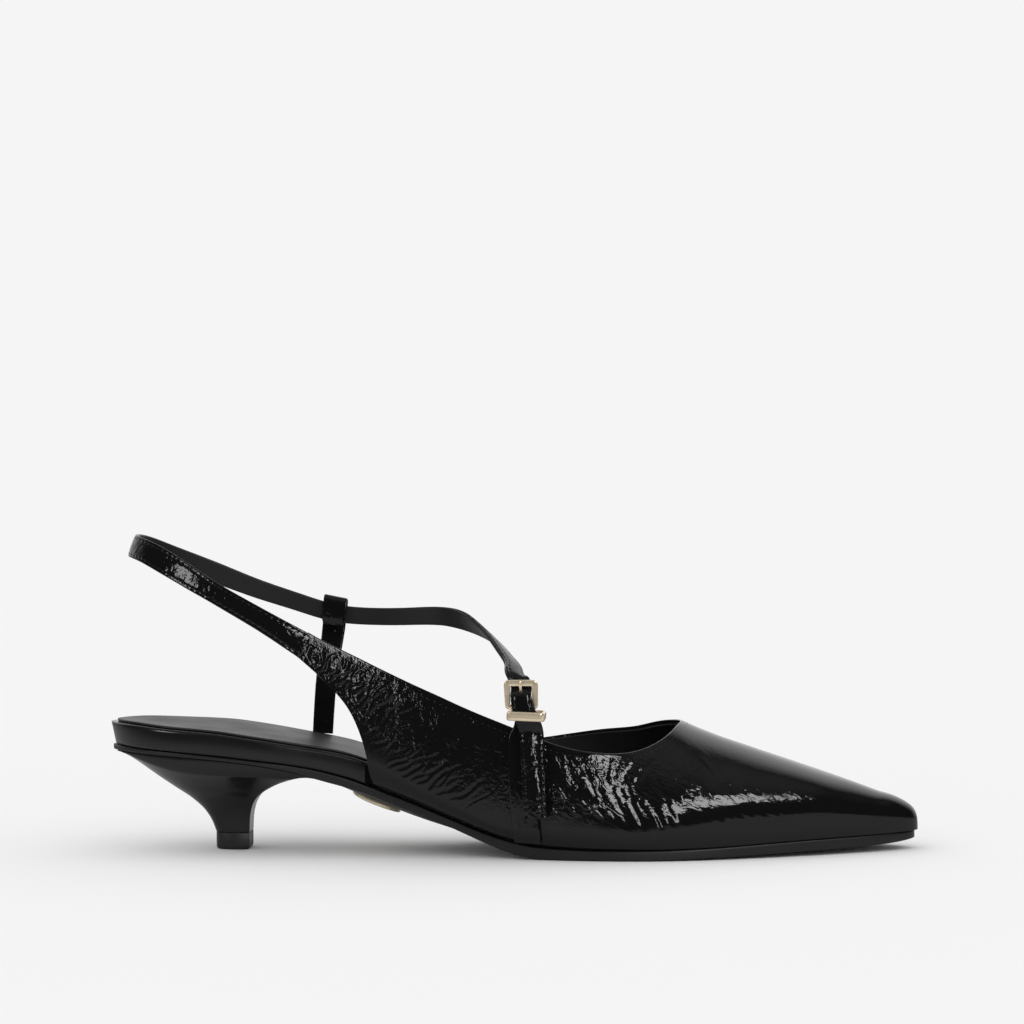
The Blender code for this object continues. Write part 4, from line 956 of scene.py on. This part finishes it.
def strap_route():
    """The strap's middle line, the direction across it and its width, from the wing to the tail,
    whose rows give their height, their x, and how far they stand off the vamp."""
    low, top = (wall_point(*end) for end in WING_ENDS)
    mid = [(low + top) / 2 - wall_normal(*WING_MIDDLE) * UPPER_WALL / 2]
    mid += [np.array(r[:3]) for r in STRAP_ROWS]
    across = [top - low] + [np.array(r[3]) for r in STRAP_ROWS]
    wide = [WING_STRAP_WIDE] + [r[4] for r in STRAP_ROWS]
    lean = np.radians(TAIL_LEAN)
    for z, x, off in TAIL_ON_LAST:
        lift = TAIL_CLEAR + STRIP_THICK + STRAP_THICK / 2 + off
        mid.append(wall_point(x, z) + wall_normal(x, z) * lift)
        across.append(wall_back(x, z) * np.cos(lean) + wall_normal(x, z) * np.sin(lean))
        wide.append(TAIL_WIDE)
    mid[0] = mid[0] + unit(mid[0] - mid[1]) * UNDER_WING
    return np.array(mid), unit(np.array(across)), np.array(wide)


def between(at, given, rows):
    """The rows at the places asked for, on straight lines between the given places."""
    return np.stack([np.interp(at, given, column) for column in rows.T], 1)


class Band:
    """A flat band along a path: at each place its middle, the unit directions across it and out of
    its face, its width, and how far along it the place is. The directions across are eased over
    two steps of the path."""

    def __init__(self, mid, across, wide, per):
        s = np.linspace(0, 1, (len(mid) - 1) * per + 1)
        self.mid = curve_through(mid, 0, at=s)
        index = s * (len(mid) - 1)
        w = between(index, np.arange(len(mid)), across)
        ease = np.hanning(2 * per + 3)[1:-1]
        ease /= ease.sum()
        w = np.pad(w, ((len(ease) // 2, len(ease) // 2), (0, 0)), mode="edge")
        w = np.stack([np.convolve(column, ease, mode="valid") for column in w.T], 1)
        self.wide = along(index, list(zip(range(len(mid)), wide)))
        t = unit(np.gradient(self.mid, axis=0))
        self.across = unit(w - t * (w * t).sum(1)[:, None])
        self.out = np.cross(self.across, t)
        self.run = run_along(self.mid)

    def rings(self, low, high, inset=0.0, round_by=0.4, points=14, puff=0.0, press=None):
        """Rounded rectangles from low to high out of the face, narrower by the inset, and their lay.
        puff, one value or one for each place, raises the face's middle by a parabola, and
        press(run, across, half, outer) is added to every height."""
        puff = np.broadcast_to(puff, len(self.mid))[:, None]
        half = (self.wide / 2 - inset)[:, None]
        r = min(round_by, (high - low) / 2 * 0.98)
        flat = np.linspace(-1, 1, points)[None, :]
        turn = np.linspace(0, np.pi / 2, 5)[None, 1:-1]
        sin, cos = r * np.sin(turn), r * np.cos(turn)
        one = np.ones_like(half)
        side = half - r
        a = np.concatenate([
            flat * side, side + sin, side + cos, flat[:, ::-1] * side, -side - sin, -side - cos,
        ], 1)
        n = np.concatenate([
            high * one + puff * (1 - flat**2), one * (high - r + cos), one * (low + r - sin),
            low * one + 0 * flat, one * (low + r - cos), one * (high - r + sin),
        ], 1)
        if press is not None:
            n = n + press(self.run[:, None], a, half, n > (low + high) / 2)
        ring = self.mid[:, None] + self.across[:, None] * a[..., None] + self.out[:, None] * n[..., None]
        return ring, np.stack([a, self.run[:, None] + 0 * a, 0 * n], -1)

    def at(self, run):
        """Middle, across, out and width where that many millimetres of the band have gone by."""
        placed = [between(run, self.run, rows) for rows in (self.mid, self.across, self.out)]
        return *placed, np.interp(run, self.run, self.wide)


def stitch_groove(inset, deep):
    """A groove along both edges of a band's outer face: a bell-shaped dip, deeper at each stitch."""
    def press(run, a, half, outer):
        near = np.exp(-(((half - np.abs(a)) - inset) / 0.34) ** 2)
        dip = 0.65 + 0.35 * np.cos(run / STITCH_PITCH * 2 * np.pi)
        return -deep * near * dip * outer
    return press


strap_patent = patent_leather("patent_strap", width=2.0, length=2.6, depth_mm=0.42, small=0.3)
strap = Band(*strap_route(), per=30)
tail_puff = np.interp(strap.run - (strap.run[-1] - TAIL_LONG), [-2.0, 3.0], [0.22, 0.55])
strap_skin, strap_lay = strap.rings(-0.2, STRAP_THICK / 2, puff=tail_puff, round_by=0.6, points=30,
                                    press=stitch_groove(STRAP_SEAM, 0.2))
leather_piece("sling_strap", strap_skin, strap_patent, ["sling_strap"], sharp=60,
              lay=strap_lay)
strap_back, _ = strap.rings(-STRAP_THICK / 2, -0.22, inset=0.15, round_by=0.2, points=10)
leather_piece("strap_lining", strap_back, lining_leather, ["sling_strap"], sharp=60)


# The inner stay.
# A narrow strip on the inner side, glued to the insole. It goes up outside the strap, folds over it
# and comes down inside, and is stitched below the strap, so that the strap slides in its loop.
# The stay's middle line as (x, y, z), and its width at each place.
STAY_PATH = [(-67.4, 23.5, 36.6), (-66.8, 24.2, 47), (-65.8, 26.2, 59), (-64.5, 28.8, 68.5),
             (-63.8, 29.7, 74.5), (-63.3, 29.7, 79.8), (-63.0, 29.0, 82.0), (-63.0, 27.4, 82.8),
             (-63.0, 25.9, 82.0), (-63.1, 25.3, 79.6), (-63.3, 25.3, 77.6), (-63.6, 25.4, 75.6),
             (-63.8, 25.8, 73.9)]
STAY_WIDE = [7.0, 7.1, 7.3, 7.7, 8.0, 8.2, 8.2, 8.2, 8.2, 8.2, 8.2, 8.0, 6.9]
STAY_THICK = 1.4

stay_across = np.tile([1.0, 0.0, -0.1], (len(STAY_PATH), 1))
stay_across[5:10, 2] = -0.2
stay_patent = patent_leather("patent_stay", width=2.0, length=3.4, depth_mm=0.3, small=0.3, rough=0.08)
stay = Band(np.array(STAY_PATH), stay_across, np.array(STAY_WIDE), per=14)
stay_skin, stay_lay = stay.rings(-STAY_THICK / 2, STAY_THICK / 2, puff=0.15, round_by=0.5, points=18,
                                 press=stitch_groove(STRAP_SEAM, 0.08))
leather_piece("side_stay", stay_skin, stay_patent, ["side_stay"], sharp=60, lay=stay_lay)


# The buckle's strip.
# A strip of patent leather on the outer side, stitched to the quarter from the sole up. Above the
# topline it narrows, and it holds the buckle's lower bar. Its rows are as the tail's, with a width.
STRIP_ROWS = [
    (6.6, 6.4, 0, 9.2), (9.2, 6.1, 0, 9.2), (12, 5.8, 0, 9.2), (18, 5.3, 0, 9.3), (26, 4.8, 0, 9.4),
    (34, 4.4, 0, 9.4), (39.5, 4.5, 0, 9.2), (43.8, 5.3, 0.3, 7.2), (48.4, 5.5, 1.9, 6.9),
]
STRIP_CLEAR = 0.35
STRIP_SEAM = 1.0
STRIP_LAY_SHIFT = (50.0, 0.0, 0.0)

strip_mid = [
    wall_point(x, z) + wall_normal(x, z) * (STRIP_CLEAR + STRIP_THICK / 2 + off)
    for z, x, off, _ in STRIP_ROWS
]
strip_across = [wall_back(x, z) for z, x, _, _ in STRIP_ROWS]
strip = Band(np.array(strip_mid), np.array(strip_across), np.array([r[3] for r in STRIP_ROWS]), per=16)
strip_patent = patent_leather("patent_strip", width=1.6, length=3.0, depth_mm=0.16, small=0.3)
strip_skin, strip_lay = strip.rings(-STRIP_THICK / 2, STRIP_THICK / 2, puff=0.2, round_by=0.55, points=30,
                                    press=stitch_groove(STRIP_SEAM, 0.2))
leather_piece("buckle_stay", strip_skin, strip_patent, ["buckle_stay"], sharp=60,
              lay=strip_lay + STRIP_LAY_SHIFT)


# The stitches.
# Black waxed thread in a lockstitch, 2.2 mm to the stitch, each one drawn down into its groove.
THREAD_BLACK = (0.01, 0.01, 0.01)
STITCH_LONG = 1.55
STITCH_THICK = 0.16
STITCH_BOW = 0.12
BAND_SUNK = 0.05
TOPLINE_SEAM = 1.9
TOPLINE_SUNK = 0.1

thread_wax = plain_leather("waxed_thread", THREAD_BLACK, rough=0.35, grain_mm=0.2, depth_mm=0.02)


def stitch_row(name, places, ahead, out):
    """One small spindle at each place, long ahead and low out of the leather, all in one mesh. Its
    radius is the root of one less the fourth power of the share along it, and its ends bow down."""
    ring = np.linspace(0, 2 * np.pi, 6, endpoint=False)
    s = np.linspace(-1, 1, 7)
    fat = STITCH_THICK * np.sqrt(np.clip(1 - s**4, 0.02, 1))[:, None]
    side = unit(np.cross(out, ahead))
    forward = (s * STITCH_LONG / 2)[None, :, None, None]
    aside = (fat * np.cos(ring))[None, :, :, None]
    up = (fat * np.sin(ring))[None, :, :, None] - (STITCH_BOW * s**2)[None, :, None, None]
    points = places[:, None, None] + ahead[:, None, None] * forward + side[:, None, None] * aside
    points = points + out[:, None, None] * up
    count, rings, k = points.shape[:3]
    start = np.arange(count)[:, None] * rings * k
    quads = (ring_faces(rings, k)[None] + start[:, None]).reshape(-1, 4)[:, ::-1]
    ends = [start + np.arange(k), start + np.arange(k)[::-1] + (rings - 1) * k]
    mesh = bpy.data.meshes.new(name)
    faces = quads.tolist() + ends[0].tolist() + ends[1].tolist()
    mesh.from_pydata(((points.reshape(-1, 3) + ON_THE_FLOOR) * MM).tolist(), [], faces)
    mesh.shade_smooth()
    return dress(name, mesh, thread_wax, None)


def band_stitches(name, band, high, inset, start):
    """Stitches along both edges of a band's outer face, up to 2 mm from its end."""
    mid, across, out, wide = band.at(np.arange(start, band.run[-1] - 2, STITCH_PITCH))
    rows = [mid + across * (side * (wide / 2 - inset))[:, None] + out * high for side in (-1, 1)]
    ahead = [unit(np.gradient(row, axis=0)) for row in rows]
    stitch_row(name, np.vstack(rows), np.vstack(ahead), unit(np.vstack([out, out])))


band_stitches("strap_stitches", strap, STRAP_THICK / 2 - BAND_SUNK, STRAP_SEAM, start=3)
band_stitches("strip_stitches", strip, STRIP_THICK / 2 - BAND_SUNK, STRIP_SEAM, start=2)
seam = skin_out[:, -1] + unit(skin_out[:, -6] - skin_out[:, -1]) * TOPLINE_SEAM
seam_run = run_along(seam)
spots = np.arange(4, seam_run[-1] - 3, STITCH_PITCH)
seam_at = between(spots, seam_run, seam)
seam_out = unit(between(spots, seam_run, normal[:, -4]))
seam_ahead = unit(np.gradient(seam_at, axis=0))
stitch_row("topline_stitches", seam_at - seam_out * TOPLINE_SUNK, seam_ahead, seam_out)


# The buckle.
# A small square frame of polished pale gold metal, cast in one piece with rounded edges, a prong
# that turns on its lower bar, and a flat keeper below that is wider than the strap.
BUCKLE_AT = (4.3, -35.0)
FRAME_BARS = (2.1, 2.1, 1.7, 1.7)
PRONG_PATH = [(4.3, -34.9, 52.3), (4.3, -34.7, 53.8), (4.25, -35.2, 55.6), (4.2, -36.3, 57.2),
              (4.1, -36.65, 58.4), (4.0, -36.65, 59.4)]
PRONG_RADIUS = [(0, 0.25), (0.02, 0.42), (0.06, 0.5), (0.9, 0.5), (0.97, 0.4), (1, 0.15)]
KEEPER_CORNERS = [(0.3, -39.3, 48.2), (11.6, -39.3, 47.7), (11.7, -29.8, 47.7), (0.4, -29.8, 48.2)]


def metal_loop(corners, width_dir, wide, thick, corner_round, edge_round):
    """A closed bar through the corners, each turned on a quarter arc of a parabola, with a cross
    section that is a rounded rectangle. thick is the bar's thickness at each corner, or one value."""
    c = np.array(corners, float)
    at_corner = np.broadcast_to(np.asarray(thick, float), len(c))
    before = unit(np.roll(c, 1, axis=0) - c) * corner_round
    after = unit(np.roll(c, -1, axis=0) - c) * corner_round
    t = np.linspace(0, 1, 9)[None, :, None]
    bend = c[:, None] + before[:, None] * (1 - t) ** 2 + after[:, None] * t * t
    gone = np.roll(bend[:, 0], -1, axis=0)
    straight = np.linspace(0, 1, 6)[1:-1]
    line = bend[:, -1:] + (gone[:, None] - bend[:, -1:]) * straight[None, :, None]
    pts = np.concatenate([bend, line], 1).reshape(-1, 3)
    ease = np.concatenate([np.zeros(9), straight])[None, :]
    grow = (at_corner[:, None] * (1 - ease) + np.roll(at_corner, -1)[:, None] * ease).reshape(-1)
    tangent = unit(np.roll(pts, -1, axis=0) - np.roll(pts, 1, axis=0))
    w = np.broadcast_to(np.array(width_dir, float), pts.shape)
    w = unit(w - tangent * (w * tangent).sum(1)[:, None])
    n = np.cross(w, tangent)
    turn = np.linspace(0, np.pi / 2, 5)
    flat = np.linspace(-1, 1, 5)[1:-1] * (wide / 2 - edge_round)
    a = wide / 2 - edge_round + edge_round * np.sin(turn)
    b = -edge_round + edge_round * np.cos(turn)
    a = np.concatenate([flat, a, a[::-1], flat[::-1], -a, -a[::-1]])
    b = np.concatenate([flat * 0, b, -b[::-1], flat * 0, -b, b[::-1]])
    up = np.concatenate([np.ones(8), -np.ones(5), -np.ones(8), np.ones(5)])
    out = b[None, :] + up[None, :] * grow[:, None] / 2
    return pts[:, None] + w[:, None] * a[None, :, None] + n[:, None] * out[..., None]


bx, by = BUCKLE_AT
frame_corners = [(bx - 4.6, by, 58.65), (bx + 4.5, by, 58.65), (bx + 4.7, by, 50.8), (bx - 4.4, by, 50.8)]
frame_rings = metal_loop(frame_corners, (0, 1, 0), wide=1.5, thick=FRAME_BARS, corner_round=0.7,
                         edge_round=0.35)
leather_piece("buckle_frame", frame_rings, gold_metal, ["buckle_frame"], loop=True, sharp=60)
prong = curve_through(PRONG_PATH, 48)
prong_t = unit(np.gradient(prong, axis=0))
prong_side = unit(np.cross(prong_t, np.cross([1.0, 0, 0], prong_t)))
prong_up = np.cross(prong_side, prong_t)
round_prong = np.linspace(0, 2 * np.pi, 20, endpoint=False)[None, :, None]
prong_r = np.interp(np.linspace(0, 1, 48), *np.array(PRONG_RADIUS).T)
prong_rings = prong[:, None] + prong_r[:, None, None] * (
    np.cos(round_prong) * prong_side[:, None] + np.sin(round_prong) * prong_up[:, None])
leather_piece("buckle_prong", prong_rings, gold_metal, ["buckle_prong"], caps="fan", sharp=70)
keeper_rings = metal_loop(KEEPER_CORNERS, (0.05, 0, 1), wide=3.0, thick=1.2, corner_round=1.0,
                          edge_round=0.59)
leather_piece("buckle_keeper", keeper_rings, gold_metal, ["buckle_keeper"], loop=True,
              sharp=60)


# The floor and the light.
# A plain pale floor under even light. Mirrored rays see soft boxes, a dark room in front, a white
# sweep behind and a pale ceiling, so the leather's side stays black and its ridges grow pale. To
# mirrored rays the floor is a painted reflection: painted dimmer than it looks, and darkened
# further by painted shade away from the shoe.
PALE = 0.915
FLOOR_ALBEDO = 0.9
FLOOR_RADIUS = 1.6
DARK_ROOM = 0.004
SWEEP_IN_GLOSS = 1.1
SWEEP_FADE = 0.9
CEILING_IN_GLOSS = 0.3
# The floor's painted reflection: how dim it is painted for mirrored rays, where its painted shade starts
# and where it is full, and what share of the dim tone is left there.
FLOOR_PAINTED_DIM_IN_GLOSS = 0.52
PAINTED_SHADE_FROM = 0.25
PAINTED_SHADE_FULL = 0.6
PAINTED_SHADE_SHARE = 0.08


def by_ray(tree, ray, plain, special):
    """The special shader for rays of that kind, and the plain one for all others."""
    kind = node(tree, "LightPath")
    feeds = {"Fac": kind.outputs[ray], 1: plain.outputs[0], 2: special.outputs[0]}
    return node(tree, "MixShader", feeds)


floor_mesh = bpy.data.meshes.new("floor")
ring = np.linspace(0, 2 * np.pi, 64, endpoint=False)
floor_points = np.stack([FLOOR_RADIUS * np.cos(ring), FLOOR_RADIUS * np.sin(ring), 0 * ring], 1)
floor_mesh.from_pydata(floor_points.tolist(), [], [list(range(64))])
floor = bpy.data.objects.new("floor", floor_mesh)
bpy.context.scene.collection.objects.link(floor)
floor_finish = bpy.data.materials.new("floor_paper")
floor_finish.use_nodes = True
paper = floor_finish.node_tree
paper.nodes.clear()
spot = node(paper, "NewGeometry")
far_off = node(paper, "VectorMath", {0: spot.outputs["Position"]}, operation="LENGTH")
# Painted reflection and painted shade: mirrored rays see the floor painted dimmer, and painted darker
# still away from the shoe.
painted_floor_tone = FLOOR_ALBEDO * FLOOR_PAINTED_DIM_IN_GLOSS
painted_floor_shade = graded(paper, far_off.outputs["Value"], PAINTED_SHADE_FROM, PAINTED_SHADE_FULL, painted_floor_tone, painted_floor_tone * PAINTED_SHADE_SHARE,
              "SMOOTHSTEP")
matte = node(paper, "BsdfDiffuse", {"Color": (FLOOR_ALBEDO, FLOOR_ALBEDO, FLOOR_ALBEDO, 1)})
painted_dim_floor = node(paper, "BsdfDiffuse", {"Color": painted_floor_shade})
node(paper, "OutputMaterial", {"Surface": by_ray(paper, "Is Glossy Ray", matte, painted_dim_floor).outputs[0]})
floor_mesh.materials.append(floor_finish)

world = bpy.data.worlds.new("studio")
world.use_nodes = True
bpy.context.scene.world = world
sky = world.node_tree
sky.nodes.clear()
direction = node(sky, "TexCoord")
parts = node(sky, "SeparateXYZ", {0: direction.outputs["Generated"]}).outputs
sweep = graded(sky, parts["Y"], 0.1, 0.75, 0.0, SWEEP_IN_GLOSS, "SMOOTHSTEP")
sweep_end = graded(sky, parts["Z"], 0.55, 0.95, 0.0, SWEEP_FADE, "SMOOTHSTEP")
ceiling = graded(sky, parts["Z"], 0.72, 0.97, 0.0, CEILING_IN_GLOSS, "SMOOTHSTEP")
gloss = maths(sky, "MAXIMUM", maths(sky, "SUBTRACT", sweep, sweep_end), ceiling)
room = node(sky, "Background", {"Strength": maths(sky, "MAXIMUM", gloss, DARK_ROOM)})
lit = node(sky, "Background", {"Color": (1, 1, 1, 1), "Strength": PALE / FLOOR_ALBEDO})
seen = node(sky, "Background", {"Color": (PALE, PALE, PALE, 1)})
all_rays = by_ray(sky, "Is Camera Ray", by_ray(sky, "Is Glossy Ray", lit, room), seen)
node(sky, "OutputWorld", {"Surface": all_rays.outputs[0]})

# Each soft box: its name, its place and what it aims at in metres, its width and height, its
# radiance, and how far it is rolled about the line to its aim, in degrees.
SOFT_BOXES = [
    ("box_front", (0.7, -0.985, 0.93), (0.03, 0.0, 0.02), (1.2, 0.28), 9.0, 38.0),
    ("box_strip", (0.4, -1.5, 0.4), (0.0, 0.0, 0.03), (0.1, 0.5), 8.0, 0.0),
    ("box_left", (-1.22, -0.89, 0.75), (-0.08, 0.0, 0.07), (0.32, 0.55), 6.5, 0.0),
]
for name, place, aim, size, radiance, roll in SOFT_BOXES:
    data = bpy.data.lights.new(name, "AREA")
    data.shape = "RECTANGLE"
    data.size, data.size_y = size
    data.energy = radiance * np.pi * size[0] * size[1]
    away = unit(np.subtract(place, aim))
    level = unit(np.cross([0.0, 0.0, 1.0], away))
    rise = np.cross(away, level)
    c, s = np.cos(np.radians(roll)), np.sin(np.radians(roll))
    box = set_up(name, data, level * c + rise * s, rise * c - level * s, away, place)
    box.visible_diffuse = False
    box.visible_camera = False

bpy.context.scene.view_settings.view_transform = "Standard"
bpy.context.scene.view_settings.look = "None"
